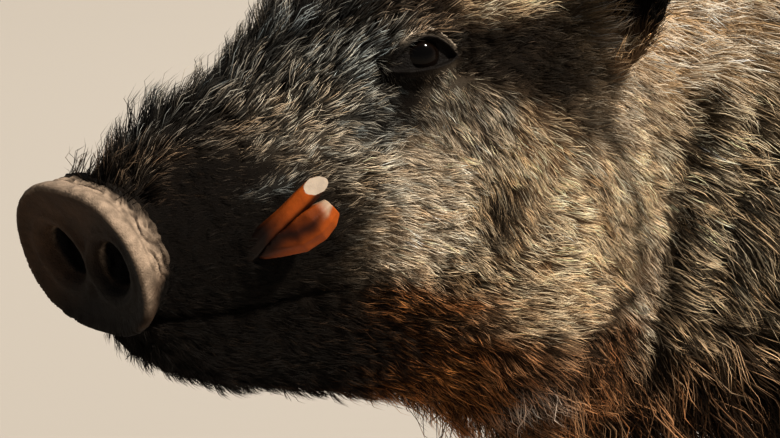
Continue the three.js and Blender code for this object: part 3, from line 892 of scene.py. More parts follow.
# at and size: behind, out, above.
HEAD_PATCHES = patches([
    # Top of the snout, the bridge and its pale edges, partly a painted highlight where the light catches the
    # edge.
    ((20, 0, 50), (18, 22, 16), (-0.3, 0, 0.95), 26, 58, BROWN, BLACK, 0.75, 1.8),
    ((50, 0, 68), (30, 22, 16), (-0.6, 0, 0.8), 28, 52, DIM, BLACK, 0.86, 1.5),
    ((95, 6, 82), (34, 20, 16), (-0.85, 0, 0.5), 23, 44, DIM, BLACK, 0.82),
    ((40, 20, 52), (26, 10, 9), (-0.95, 0.1, 0.3), 9, 26, UMBER, BLACK, 0.65, 1.2),
    ((90, 32, 64), (30, 9, 8), (-0.95, 0.1, 0.3), 10, 26, UMBER, BLACK, 0.6, 1.3),
    # Sides of the muzzle: black hair, darkened further as painted shade, most of all behind the tusks.
    ((45, 36, 34), (26, 16, 14), (-1, 0.1, -0.1), 7, 20, SOOT, BLACK, 0.85, 1.2),
    ((60, 42, 5), (40, 20, 32), (-1, 0.1, -0.1), 7, 18, DARK, BLACK, 0.95, 1.6),
    ((100, 44, 36), (24, 14, 12), (-0.95, 0.1, 0.15), 8, 22, SOOT, BLACK, 0.75, 1.2),
    ((106, 53, 27), (15, 12, 6), (-0.85, 0.2, 0.5), 10, 34, GREY, BLACK, 0.2, 2.2),
    ((138, 55, 42), (20, 14, 11), (-0.95, 0.1, 0.1), 10, 22, PALE, DARK, 0.28, 1.6),
    ((84, 50, -5), (8, 12, 15), (-1, 0.2, 0.25), 13, 26, DARK, BLACK, 0.95, 2.4),
    ((125, 56, -8), (34, 24, 26), (-1, 0.1, 0.0), 8, 18, DARK, BLACK, 0.96, 1.9),
    ((160, 60, -22), (20, 22, 20), (-1, 0.1, 0.0), 12, 20, DARK, BLACK, 0.88, 1.6),
    # Forehead and brow.
    ((130, 38, 70), (34, 20, 14), (-0.92, 0.15, 0.35), 14, 28, PALE, BLACK, 0.55, 1.2),
    ((172, -20, 113), (22, 18, 12), (-0.75, 0, 0.65), 32, 56, LIGHT, DARK, 0.3, 1.8),
    ((150, 14, 98), (34, 26, 16), (-0.85, 0.1, 0.5), 21, 38, DIM, BLACK, 0.72, 1.2),
    ((180, 42, 88), (26, 18, 16), (-0.9, 0.15, 0.4), 15, 30, GREY, BLACK, 0.6, 1.1),
    ((205, 0, 132), (48, 40, 22), (-0.7, 0, 0.75), 32, 52, DIM, BLACK, 0.80, 1.2),
    ((230, 56, 116), (24, 16, 12), (-0.8, 0.3, 0.45), 13, 36, UMBER, BLACK, 0.86, 1.6),
    ((270, 40, 148), (50, 40, 22), (-0.85, 0, 0.5), 30, 42, BROWN, BLACK, 0.55),
    ((346, 0, 160), (50, 60, 24), (-0.85, 0, 0.5), 42, 44, BROWN, BLACK, 0.5),
    # Round the eye, and the dark band back to the ear: black hair, partly painted shade where the brow and
    # the ear shade it.
    ((205, 64, 71), (14, 16, 14), (-0.7, 0.1, -0.7), 7, 30, BLACK, BLACK, 0.97, 3.2),
    ((228, 80, 62), (17, 14, 15), (-0.35, 0.1, -0.95), 12, 38, PALE, DARK, 0.2, 1.7),
    ((262, 86, 92), (24, 18, 12), (-0.95, 0.2, -0.1), 13, 34, BLACK, BLACK, 0.93, 2.2),
    ((305, 98, 82), (28, 20, 14), (-0.95, 0.2, -0.15), 15, 36, SOOT, BLACK, 0.93, 3.0),
    ((292, 82, 114), (28, 18, 11), (-0.75, 0.4, 0.35), 22, 38, WARM, BROWN, 0.06, 2.8),
    ((326, 110, 60), (27, 18, 17), (-0.75, 0.3, -0.2), 17, 36, BLACK, BLACK, 0.95, 4.4),
    ((340, 98, 94), (18, 16, 16), (-0.75, 0.4, 0.2), 22, 34, BLACK, BLACK, 0.93, 2.2),
    ((362, 116, 66), (12, 16, 9), (-0.8, 0.3, -0.2), 18, 30, TAN, BROWN, 0.3, 2.4),
    # The pale cheek: its hair fans out from the eye and the corner of the mouth.
    ((180, 60, 55), (24, 20, 14), (-0.97, 0.1, -0.15), 14, 22, GREY, BLACK, 0.4, 1.2),
    ((176, 66, 22), (20, 20, 18), (-0.98, 0.1, -0.12), 16, 20, PALE, DARK, 0.25, 1.3),
    ((210, 78, 12), (26, 20, 22), (-0.9, 0.1, -0.4), 20, 19, PALE, SAND, 0.08, 1.6),
    ((205, 74, -24), (30, 20, 17), (-1, 0.1, -0.15), 21, 18, PALE, SAND, 0.10, 1.4),
    ((245, 96, 38), (18, 20, 18), (-0.25, 0.1, -0.97), 18, 21, PALE, DARK, 0.2, 1.4),
    ((250, 100, 2), (18, 20, 20), (-0.35, 0.1, -0.93), 22, 21, WARM, DARK, 0.25, 1.4),
    ((262, 104, -14), (12, 20, 16), (-0.5, 0.1, -0.85), 20, 24, BROWN, BLACK, 0.75, 1.7),
    ((290, 110, 20), (22, 24, 22), (-0.6, 0.15, -0.78), 24, 20, WARM, BROWN, 0.18, 1.4),
    ((245, 90, -48), (30, 24, 15), (-0.95, 0.1, -0.35), 24, 20, CREAM, DARK, 0.22, 1.5),
    ((218, 70, -70), (34, 24, 13), (-0.98, 0.12, -0.2), 22, 26, ORANGE, BLACK, 0.5, 1.4),
    # Jowl.
    ((322, 120, -16), (24, 24, 26), (-0.72, 0.2, -0.66), 26, 20, WARM, BROWN, 0.12, 1.5),
    ((305, 118, -56), (32, 24, 22), (-0.97, 0.2, -0.1), 27, 19, WARM, BROWN, 0.12, 1.6),
    ((292, 106, -92), (34, 24, 15), (-0.98, 0.25, 0.05), 27, 24, CREAM, BROWN, 0.2, 1.5),
    ((288, 88, -124), (26, 24, 14), (-0.8, 0.2, -0.5), 26, 28, RUST, BLACK, 0.35, 1.4),
    # Under the jaw and the throat: the black hair under the jaw is darkened further as painted shade.
    ((40, 14, -60), (24, 30, 26), (-0.8, 0.1, -0.5), 11, 30, DARK, BLACK, 0.9, 1.2),
    ((110, 36, -70), (60, 24, 30), (-0.97, 0.1, -0.15), 11, 20, DARK, BLACK, 0.95, 1.6),
    ((190, 50, -100), (44, 30, 24), (-0.98, 0.1, -0.1), 15, 20, DARK, BLACK, 0.9, 1.6),
    ((110, 0, -100), (80, 24, 24), (-0.9, 0.1, -0.35), 15, 28, DARK, BLACK, 0.85),
    ((240, 62, -118), (40, 30, 20), (-0.97, 0.15, -0.1), 22, 26, ORANGE, BLACK, 0.6, 1.4),
    ((376, 108, -128), (14, 22, 12), (-0.7, 0.2, -0.65), 24, 32, RUST, BLACK, 0.7, 2.4, 0.12),
    ((385, 90, -166), (32, 34, 20), (-0.7, 0.2, -0.65), 30, 36, RUST, BLACK, 0.28, 2.8, 0.12),
    ((334, 72, -170), (14, 22, 12), (-0.7, 0.3, -0.5), 36, 42, LIGHT, BLACK, 0.15, 1.6, 0.10),
    ((292, 44, -168), (44, 44, 24), (-0.75, 0.15, -0.6), 34, 34, ORANGE, BLACK, 0.35, 1.3, 0.08),
    ((375, 70, -192), (40, 50, 34), (-0.4, 0.15, -0.9), 58, 48, RUST, BLACK, 0.4, 1.2, 0.08),
    # The pale strip of neck behind the jowl.
    ((368, 122, 40), (26, 34, 40), (-0.75, 0.25, -0.6), 30, 24, PALE, SAND, 0.12, 1.6),
    ((392, 122, -20), (22, 34, 40), (-0.7, 0.25, -0.65), 22, 22, WARM, SAND, 0.14, 1.6),
    ((398, 120, -85), (13, 30, 34), (-0.7, 0.2, -0.7), 20, 24, PALE, BROWN, 0.15, 2.2),
    ((406, 114, -138), (11, 30, 26), (-0.6, 0.2, -0.8), 20, 24, CREAM, BLACK, 0.25, 2.2),
    ((385, 116, 84), (30, 34, 24), (-0.95, 0.2, -0.25), 30, 24, LIGHT, TAN, 0.08, 1.4),
])

# at and size: along the spine from the snout, out from the middle, above the ground.
BODY_PATCHES = patches([
    ((420, 0, 780), (90, 60, 60), (0.85, 0, 0.5), 62, 40, BROWN, BLACK, 0.4),
    ((600, 0, 850), (140, 60, 50), (0.86, 0, 0.5), 92, 38, BROWN, BLACK, 0.45),
    ((850, 0, 850), (160, 60, 50), (0.92, 0, 0.36), 84, 30, BROWN, BLACK, 0.45),
    ((1100, 0, 800), (160, 60, 50), (0.96, 0, 0.2), 58, 20, BROWN, BLACK, 0.4),
    ((440, 120, 700), (60, 70, 60), (0.97, 0.1, -0.25), 27, 22, LIGHT, TAN, 0.05, 1.5),
    ((462, 125, 600), (34, 70, 55), (0.85, 0.1, -0.5), 24, 30, WARM, BLACK, 0.60, 1.5),
    ((458, 120, 500), (34, 70, 60), (0.8, 0.1, -0.6), 28, 30, CREAM, BLACK, 0.60, 1.5),
    ((520, 125, 710), (60, 70, 60), (0.93, 0.1, -0.35), 31, 20, LIGHT, TAN, 0.06, 1.4),
    ((520, 130, 600), (50, 70, 55), (0.85, 0.1, -0.5), 26, 30, WARM, BLACK, 0.60, 1.4),
    ((525, 130, 500), (60, 70, 60), (0.8, 0.1, -0.6), 32, 28, CREAM, BLACK, 0.6, 1.4),
    ((490, 90, 400), (90, 90, 46), (0.35, 0.1, -0.93), 84, 44, RUST, BLACK, 0.6, 1.4, 0.05),
    ((600, 60, 380), (90, 90, 40), (0.6, 0.1, -0.78), 55, 36, BROWN, BLACK, 0.6, 1.0, 0.05),
    ((620, 150, 680), (80, 70, 90), (0.85, 0.05, -0.45), 44, 17, CREAM, BLACK, 0.40),
    ((740, 160, 700), (110, 70, 110), (0.82, 0.05, -0.5), 46, 16, GRIZZLE, BLACK, 0.45),
    ((700, 160, 520), (110, 70, 100), (0.7, 0.05, -0.7), 44, 16, GRIZZLE, BLACK, 0.55),
    ((960, 160, 680), (160, 70, 120), (0.88, 0.05, -0.42), 48, 15, GRIZZLE, BLACK, 0.45),
    ((960, 150, 500), (160, 80, 90), (0.86, 0.05, -0.45), 46, 16, GRIZZLE, BLACK, 0.58),
    ((900, 40, 390), (300, 90, 40), (0.93, 0.05, -0.2), 40, 16, DARK, BLACK, 0.7),
    ((1250, 130, 680), (110, 80, 110), (0.75, 0.05, -0.6), 44, 15, GRIZZLE, BLACK, 0.48),
    ((1250, 130, 520), (110, 80, 90), (0.5, 0.05, -0.8), 40, 15, BROWN, BLACK, 0.5),
    ((1400, 60, 640), (70, 90, 110), (0.25, 0.1, -0.9), 40, 16, BROWN, BLACK, 0.5),
])

LEG_PATCHES = patches([
    ((0, 0, 470), (900, 900, 80), (0.25, 0.05, -1), 32, 14, UMBER, BLACK, 0.72),
    ((0, 0, 330), (900, 900, 70), (0.15, 0.03, -1), 20, 13, BROWN, BLACK, 0.6),
    ((0, 0, 200), (900, 900, 80), (0.06, 0.03, -1), 12, 12, BROWN, DARK, 0.65),
    ((0, 0, 60), (900, 900, 60), (0.0, 0.05, -1), 9, 12, SOOT, DARK, 0.7),
])
TAIL_PATCHES = patches([
    ((0, 0, 660), (900, 900, 50), (0.6, 0, -0.8), 26, 16, BROWN, BLACK, 0.6),
    ((0, 0, 550), (900, 900, 60), (0.1, 0, -1), 24, 12, BROWN, BLACK, 0.6),
    ((0, 0, 470), (900, 900, 40), (0.0, 0, -1), 58, 9, SOOT, BLACK, 0.8),
])
EAR_TIP = {side: head_point(352, s * 152, 208) for side, s in SIDES.items()}


def blend_patches(areas, places):
    """Soft average of the patches at each place: the lie, then the rest of a patch's numbers."""
    total = np.full(len(places), 1e-9)
    lie = np.zeros((len(places), 3))
    rest = np.zeros((len(places), len(areas[0]["rest"])))
    for p in areas:
        far = (((places - p["at"]) / p["size"]) ** 2).sum(axis=1)
        share = p["strength"] * (np.exp(-far) + 0.01 * np.exp(-far / 9) + 1e-5 / (1 + far))
        total += share
        lie += share[:, None] * p["lie"]
        rest += share[:, None] * p["rest"]
    return unit(lie), rest / total[:, None]


def coat_at(points, shares):
    """The coat at each point: the way it lies in the row's frame, and the blended numbers."""
    wander = sum(
        size * np.stack([noise(points, grain * MM, shift + axis) for axis in (1.0, 11.0, 21.0)], axis=1)
        for size, grain, shift in ((8, 26, 0.0), (5, 9, 1.0))
    )
    place = head_places(points)
    hand = np.sign(place[:, 1])
    folded = place + wander
    folded[:, 1] = np.abs(place[:, 1])
    lie, rest = blend_patches(HEAD_PATCHES, folded)
    # The cheek's hair is short and fuzzy.
    cheek = ramp(165, 210, place[:, 0]) * ramp(-135, -105, place[:, 2]) * ramp(105, 80, place[:, 2])
    rest[:, 0] *= 1 - 0.28 * cheek
    head_lie = FORWARD * lie[:, :1] + LEFT * (lie[:, 1] * hand)[:, None] + UP * lie[:, 2:]
    along, left, way = spine_places(points)
    body_place = np.stack([along / MM, np.abs(left) / MM, points[:, 2] / MM], axis=1) + wander * 1.5
    lie, body_rest = blend_patches(BODY_PATCHES, body_place)
    outward = np.cross(UP, -way) * np.sign(left)[:, None]
    body_lie = way * lie[:, :1] + outward * lie[:, 1:2] + UP * lie[:, 2:]
    body = ramp(395, 450, along / MM)
    lie = mix(head_lie, body_lie, body[:, None])
    rest = mix(rest, body_rest, body[:, None])
    height = points * (0, 0, 1 / MM)
    for key, areas in (("leg", LEG_PATCHES), ("tail", TAIL_PATCHES)):
        part_lie, part_rest = blend_patches(areas, height)
        part_lie = np.stack([part_lie[:, 1] * np.sign(left), part_lie[:, 0], part_lie[:, 2]], axis=1)
        lie = mix(lie, part_lie, shares[key][:, None])
        rest = mix(rest, part_rest, shares[key][:, None])
    ear_lie = np.zeros_like(points)
    for side, s in SIDES.items():
        ear_lie = np.where((place[:, 1] * s > 0)[:, None], unit(EAR_TIP[side] - points), ear_lie)
    # The ear's back is dark, and its lower edge is furred like the neck.
    low = ramp(96, 80, place[:, 2])[:, None]
    ear_rest = mix((14, 24, *DARK, *BLACK, 0.8, 0.0), (18, 26, *TAN, *BROWN, 0.35, 0.0), low)
    lie = mix(lie, ear_lie, shares["ear"][:, None])
    rest = mix(rest, ear_rest, shares["ear"][:, None])
    return unit(lie), rest


def skin_colours(points, shades):
    """The skin's colours: the roots' colour, with bare snout and dark lids, and painted light and shade on
    the snout's disc and rim, the upper lid and in the neck's folds. Also how bare the skin is at each point."""
    shares = part_shares(points)
    rest = coat_at(points, shares)[1]
    tip, root, dark = rest[:, 2:5], rest[:, 5:8], rest[:, 8]
    colour = mix(root, tip, (0.05 * (1 - dark))[:, None])
    # Painted shade: the skin is darkened in the neck's folds.
    colour = colour * np.exp(-1.6 * fold_shade(points))[:, None]
    depth, across, up = disc_places(points)
    size = disc_size(across, up)
    share = disc_share(depth, up)
    lump = 1 + 0.3 * noise(points, 9 * MM, 4.0)[:, None]
    # The rim carries painted light: pale above and on the side of the light, as a painted highlight, and
    # dark brown below, where it is painted in shade.
    lit = ramp(-28, -12, up) * mix(0.06, 1.0, ramp(-38, -20, across))
    lit = lit * (1 - 0.85 * ramp(2.5, 6, depth) * ramp(2, -12, up))
    rim_light_and_shade = mix((0.040, 0.024, 0.015), (0.235, 0.172, 0.124), lit[:, None])
    mottle = 1 + 0.35 * noise(points, 4 * MM, 17.0) + 0.25 * noise(points, 2 * MM, 18.0)
    # The grooves between the folds are painted near black, as painted shade; their ridges take the rim's
    # painted colours.
    ridges = ramp(-1.6, 0.6, fold_height(points))[:, None]
    folds = mix((0.016, 0.010, 0.007), rim_light_and_shade * mottle[:, None], ridges)
    top = ramp(20, 38, up) * ramp(15, 22, depth)
    limit = mix(34, 10, ramp(0, -20, up))
    reach = share * ramp(limit + 6, limit - 6, depth) * ramp(-44, -30, up) * (1 - top)
    colour = mix(colour, folds * lump, reach[:, None])
    # The face is near black, dark skin with painted shade on it, and browner towards its top on the right,
    # as painted light.
    painted_lit_top = ramp(30, -40, across - up)[:, None]
    face = mix((0.0040, 0.0028, 0.0022), (0.030, 0.0165, 0.0095), painted_lit_top)
    colour = mix(colour, face * lump, (ramp(0.975, 0.945, size) * ramp(12, 9, depth))[:, None])
    # Painted shade: the nostrils are black inside.
    colour = mix(colour, BLACK, (ramp(10, 13, depth) * (size < 0.78) * (depth < 33))[:, None])
    # The upper lid's fold is pale, partly its own colour and partly a painted highlight on its lit top, and
    # the lids' edges are black.
    colour = mix(colour, (0.44, 0.36, 0.28), shades[:, 1:2])
    colour = mix(colour, (0.004, 0.003, 0.0025), shades[:, :1])
    return colour, np.maximum(share * ramp(40, 30, depth), shades[:, 0])


# ------------------------------------------------------------------ tufts
COAT_SEED = 41
TRIANGLE_LIMIT = 190_000            # in one piece
BAKE_PATCH = 0.003                  # a tuft's size on the bake's map
BAKE_RADIUS = 0.16                  # of the body, as that map unrolls it
SPINE_HEIGHT = 0.58
HEAD_END, NECK_END = 0.40, 0.60     # along the spine, where the coat's pieces part
LOCK = 13                           # tufts in a lock
LOCK_PULL = (0.15, 0.55, 1.0)       # how far a tuft's knee, bend and tip are drawn to its lock's
TAPER = (1.0, 0.9, 0.66)            # a tuft's width at its root, knee and bend
STRAIGHT, ONE_BEND = 13, 44         # the longest tufts, in mm, with no bend and with one
# Tufts over each spot of skin, on the average.
COVER = {"face": 2.85, "neck": 2.9, "trunk": 1.55, "leg": 1.45, "ear": 1.9, "tail": 2.2}
HIDDEN_SIDE = 0.43                  # share of the tufts on the right side of the head


def sample_skin(mesh, rng):
    """Random roots on the skin, as many to the square metre as the place needs."""
    mesh.calc_loop_triangles()
    corners = rows_of(mesh.loop_triangles, "vertices", 3, np.int32)
    points, normals = points_of(mesh), normals_of(mesh)
    a, b, c = (points[corners[:, i]] for i in range(3))
    area = 0.5 * np.linalg.norm(np.cross(b - a, c - a), axis=1)
    shares = {key: value[corners].mean(axis=1) for key, value in part_shares(points).items()}
    expected = area * density_at((a + b + c) / 3, shares) * 1.0
    count = np.floor(expected + rng.random(len(area))).astype(int)
    pick = np.repeat(np.arange(len(area)), count)
    u, v = rng.random(len(pick)), rng.random(len(pick))
    flip = u + v > 1
    u, v = np.where(flip, 1 - u, u), np.where(flip, 1 - v, v)
    weights = np.stack([1 - u - v, u, v], axis=1)
    root = (points[corners[pick]] * weights[:, :, None]).sum(axis=1)
    normal = (normals[corners[pick]] * weights[:, :, None]).sum(axis=1)
    return root, unit(normal), {key: value[pick] for key, value in shares.items()}


def tuft_width(length, along):
    """A tuft's width in metres at the root."""
    return np.clip(0.011 * length + 0.42, 0.5, 1.15) * (1 + 0.75 * ramp(540, 680, along)) * MM


def density_at(points, shares):
    """Roots to the square metre at each point: none on the disc, its folds, and the lids."""
    along, left, _ = spine_places(points)
    along = along / MM
    depth, _, up = disc_places(points)
    length = coat_at(points, shares)[1][:, 0]
    cover = mix(COVER["face"], COVER["neck"], ramp(370, 450, along)) * mix(0.55, 1.0, ramp(6, 11, length))
    cover = mix(cover, COVER["trunk"], ramp(520, 640, along))
    cover = np.where((left < 0) & (along < 640), cover * HIDDEN_SIDE, cover)
    for key in ("leg", "tail", "ear"):
        cover = mix(cover, COVER[key], shares[key])
    value = cover / (0.6 * length * MM * tuft_width(length, along))
    value = value * mix(0.6, 1.2, ramp(-0.45, 0.35, noise(points, 20 * MM, 6.0)))
    bald = mix(25.0, 16.0, ramp(20, 38, up)) - 15.0 * ramp(0, -22, up)
    value = value * ramp(bald, bald + 15, depth + 8 * noise(points, 8 * MM, 2.0))
    for side in SIDES.values():
        p, q, h = eye_places(points, side)
        near = (np.abs(p) < 40) & (np.abs(q) < 30) & (h > -10)
        value = np.where(near, value * ramp(1.6, 3.6, slit(p, q)), value)
    return value


def find_locks(base, rng):
    """The leading tuft of each tuft's lock, and the distance to it."""
    count = len(base)
    heads = rng.choice(count, max(1, count // LOCK), replace=False)
    tree = KDTree(len(heads))
    for i, h in enumerate(heads):
        tree.insert(Vector(base[h]), i)
    tree.balance()
    near = np.array([tree.find(Vector(p))[1] for p in base])
    lead = heads[near]
    return lead, np.linalg.norm(base - base[lead], axis=1)


def grow_tufts(root, normal, shares, rng):
    """The centre line, width and colours of each tuft."""
    count = len(root)
    lead, reach = find_locks(root, rng)

    def varied(spread, own=0.5):
        """A random number for each tuft, part of it shared by its whole lock."""
        value = rng.normal(0, 1, count)
        return spread * (value[lead] * math.sqrt(1 - own * own) + own * rng.normal(0, 1, count))

    lie, rest = coat_at(root, shares)
    length, lift, curl = rest[:, 0], np.radians(rest[:, 1]), rest[:, 9]
    along = spine_places(root)[0] / MM
    width = tuft_width(length, along) * rng.uniform(0.7, 1.3, count)
    lie = unit(lie - normal * (lie * normal).sum(axis=1, keepdims=True))
    across = np.cross(normal, lie)
    sway = 0.34 * noise(root, 38 * MM, 3.0) + 0.28 * noise(root, 14 * MM, 6.0) + varied(0.24, 0.75)
    lie = lie * np.cos(sway)[:, None] + across * np.sin(sway)[:, None]
    across = np.cross(normal, lie)
    # Tufts in a fold of the neck, or reaching over it, are short.
    middle_place = root + lie * (0.45 * length * MM)[:, None]
    deep = np.maximum(fold_shade(root), fold_shade(root + lie * (0.9 * length * MM)[:, None]))
    length = length * np.clip(1 + varied(0.24, 0.7), 0.45, 1.7) * (1 - 0.35 * deep) * MM
    lift = lift * np.clip(1 + varied(0.42, 0.5), 0.15, 2.4)
    rise = lie * np.cos(lift)[:, None] + normal * np.sin(lift)[:, None]
    droop = unit(lie + normal * np.tan(lift * 0.2)[:, None] + UP * -0.14 + across * varied(0.16)[:, None])
    base = root - normal * 0.6 * MM
    wave = across * (length * (curl + 0.04) * np.sign(varied(1.0)))[:, None]
    knee = base + rise * (length * 0.36)[:, None] + wave
    bend = knee + unit(rise + droop) * (length * 0.34)[:, None] - wave * 1.5
    tip = bend + droop * (length * 0.32)[:, None] + wave * 0.5
    line = gather_locks(np.stack([base, knee, bend, tip]), lead, reach, length, rng)
    # The colours are those of the place that a tuft's middle covers.
    shown = coat_at(middle_place, shares)[1]
    tip_colour, root_colour, dark = shown[:, 2:5], shown[:, 5:8], shown[:, 8]
    patchy = varied(0.16, 0.4) * mix(1.0, 0.5, ramp(520, 700, along))
    pale = rng.random(count) > np.clip(dark + patchy, 0.02, 0.99)
    end = np.where(pale[:, None], tip_colour, mix(root_colour, tip_colour, 0.08))
    tone = varied(0.26, 0.6) + 0.22 * noise(root, 30 * MM, 9.0)
    end = end * np.exp(tone * mix(1.0, 0.6, ramp(520, 700, along)))[:, None]
    warmth = varied(0.07)
    end = end * np.stack([1 + warmth, np.ones(count), 1 - warmth], axis=1)
    low = root_colour * rng.uniform(0.6, 1.4, (count, 1))
    middle_colour = mix(low, end, rng.uniform(0.35, 0.95, (count, 1)))
    colours = np.stack([low, mix(low, middle_colour, 0.5), middle_colour, end])
    # Painted shade: each row of a tuft is darkened where it lies in one of the neck's folds.
    shadow = np.exp(-4.4 * np.array([fold_shade(row) for row in line]))
    colours = np.clip(colours, 0, 0.85) * shadow[:, :, None]
    # How far a tuft needs bending to follow the coat: on the trunk and legs, less.
    bent = length / MM * mix(1.0, 0.6, ramp(560, 700, along)) * mix(1.0, 0.5, shares["leg"])
    return {"line": line, "normal": normal, "width": width, "colours": colours, "bent": bent}


def gather_locks(line, lead, reach, length, rng):
    """Draws the ends of a lock's tufts together."""
    pull = rng.uniform(0.15, 0.7, len(lead)) * ramp(0.95, 0.35, reach / np.maximum(length, 1e-6))
    scale = np.clip(length / np.maximum(length[lead], 1e-6), 0.6, 1.3)[:, None]
    base = line[0]
    for row, share in enumerate(LOCK_PULL, 1):
        goal = base[lead] + (line[row][lead] - base[lead]) * scale
        line[row] = mix(line[row], goal, (pull * share)[:, None])
    return line


def spikes(grown, pick, rows, map_place):
    """Closed three-sided spikes through the given rows of each tuft's centre line."""
    line = grown["line"][:, pick]
    normal, width = grown["normal"][pick], grown["width"][pick]
    way = unit(line[rows[-1]] - line[0])
    flat = unit(np.cross(way, normal) + 1e-6)
    thick = np.cross(flat, way)
    parts, shades, map_corners = [], [], []
    for row in rows[:-1]:
        for turn in range(3):
            angle = math.pi / 2 + turn * 2 * math.pi / 3
            across = flat * math.cos(angle) * 0.5 + thick * math.sin(angle) * 0.26
            parts.append(line[row] + across * (width * TAPER[row])[:, None])
            shades.append(grown["colours"][row][pick])
            map_corners.append((turn / 2, row / 3))
    parts.append(line[rows[-1]])
    shades.append(grown["colours"][rows[-1]][pick])
    map_corners.append((0.5, 1.0))
    faces = [(0, 2, 1)]
    for ring in range(len(rows) - 2):
        for turn in range(3):
            a, b = ring * 3 + turn, ring * 3 + (turn + 1) % 3
            faces += [(a, b, b + 3), (a, b + 3, a + 3)]
    last = 3 * (len(rows) - 2)
    faces += [(last + turn, last + (turn + 1) % 3, last + 3) for turn in range(3)]
    points = np.stack(parts, axis=1).reshape(-1, 3)
    colours = np.stack(shades, axis=1).reshape(-1, 3)
    index = np.array(faces)[None] + len(parts) * np.arange(len(pick))[:, None, None]
    place = map_place[pick][:, None] + (np.array(map_corners)[None] - 0.5) * BAKE_PATCH
    return points, colours, index.reshape(-1, 3), place.reshape(-1, 2)


def tuft_mesh(name, grown, members, map_place, material):
    """One piece of the coat. Short tufts are straight, longer ones bend once or twice."""
    bent = grown["bent"][members]
    kinds = [(members[bent < STRAIGHT], (0, 3)),
             (members[(bent >= STRAIGHT) & (bent < ONE_BEND)], (0, 2, 3)),
             (members[bent >= ONE_BEND], (0, 1, 2, 3))]
    made = [spikes(grown, pick, rows, map_place) for pick, rows in kinds]
    starts = np.cumsum([0] + [len(m[0]) for m in made])
    points, colours, place = (np.concatenate([m[i] for m in made]) for i in (0, 1, 3))
    index = np.concatenate([m[2] + start for m, start in zip(made, starts)])
    mesh = bpy.data.meshes.new(name)
    mesh.vertices.add(len(points))
    mesh.vertices.foreach_set("co", points.astype(np.float32).ravel())
    mesh.loops.add(index.size)
    mesh.loops.foreach_set("vertex_index", index.astype(np.int32).ravel())
    mesh.polygons.add(len(index))
    mesh.polygons.foreach_set("loop_start", np.arange(0, index.size, 3, dtype=np.int32))
    mesh.update(calc_edges=True)
    layer = mesh.uv_layers.new(name="OFBake")
    layer.data.foreach_set("uv", place[index.ravel()].astype(np.float32).ravel())
    paint(mesh, colours)
    smooth_shade(mesh)
    mesh.materials.append(material)
    piece = placed(name, mesh)
    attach(piece, "root")


def make_coat(skin, material):
    rng = np.random.default_rng(COAT_SEED)
    root, normal, shares = sample_skin(skin.data, rng)
    grown = grow_tufts(root, normal, shares, rng)
    triangles = np.select([grown["bent"] < STRAIGHT, grown["bent"] < ONE_BEND], [4, 10], 16)
    along, left, _ = spine_places(root)
    height = root[:, 2]
    turn = np.arctan2(height - SPINE_HEIGHT, np.abs(left))
    side = np.where(left >= 0, "left", "right")
    region = np.where(along < NECK_END, "coat_neck_", "coat_trunk_")
    region = np.where(along < HEAD_END, "coat_head_", region)
    region = np.char.add(region.astype(str), side)
    for key, name in (("leg", "coat_legs_"), ("ear", "coat_ear_")):
        region = np.where(shares[key] > 0.5, np.char.add(name, side), region)
    region = np.where(shares["tail"] > 0.5, "coat_tail", region)
    for name in sorted(set(region)):
        members = np.flatnonzero(region == name)
        flat = np.stack([along[members], turn[members] * BAKE_RADIUS], axis=1)
        if "legs" in name:
            flat = np.stack([root[members, 1], height[members]], axis=1)
        low, high = flat.min(axis=0), flat.max(axis=0)
        place = np.zeros((len(root), 2))
        place[members] = 0.01 + 0.98 * (flat - low) / np.maximum(high - low, 1e-6)
        order = members[np.argsort(flat[:, 0], kind="stable")]
        used = np.cumsum(triangles[order])
        parts = int(np.ceil(used[-1] / TRIANGLE_LIMIT))
        piece_of = np.minimum((used - 1) * parts // used[-1], parts - 1)
        for k in range(parts):
            label = name if parts == 1 else f"{name}_{k + 1}"
            tuft_mesh(label, grown, order[piece_of == k], place, material)


# ------------------------------------------------------------------ eyes, tusks, hooves
EYE_RINGS, EYE_AROUND = 48, 64
TUSK_VOXEL, TUSK_ROUNDS = 0.9 * MM, 10
HORN_VOXEL, HORN_ROUNDS = 2.2 * MM, 4


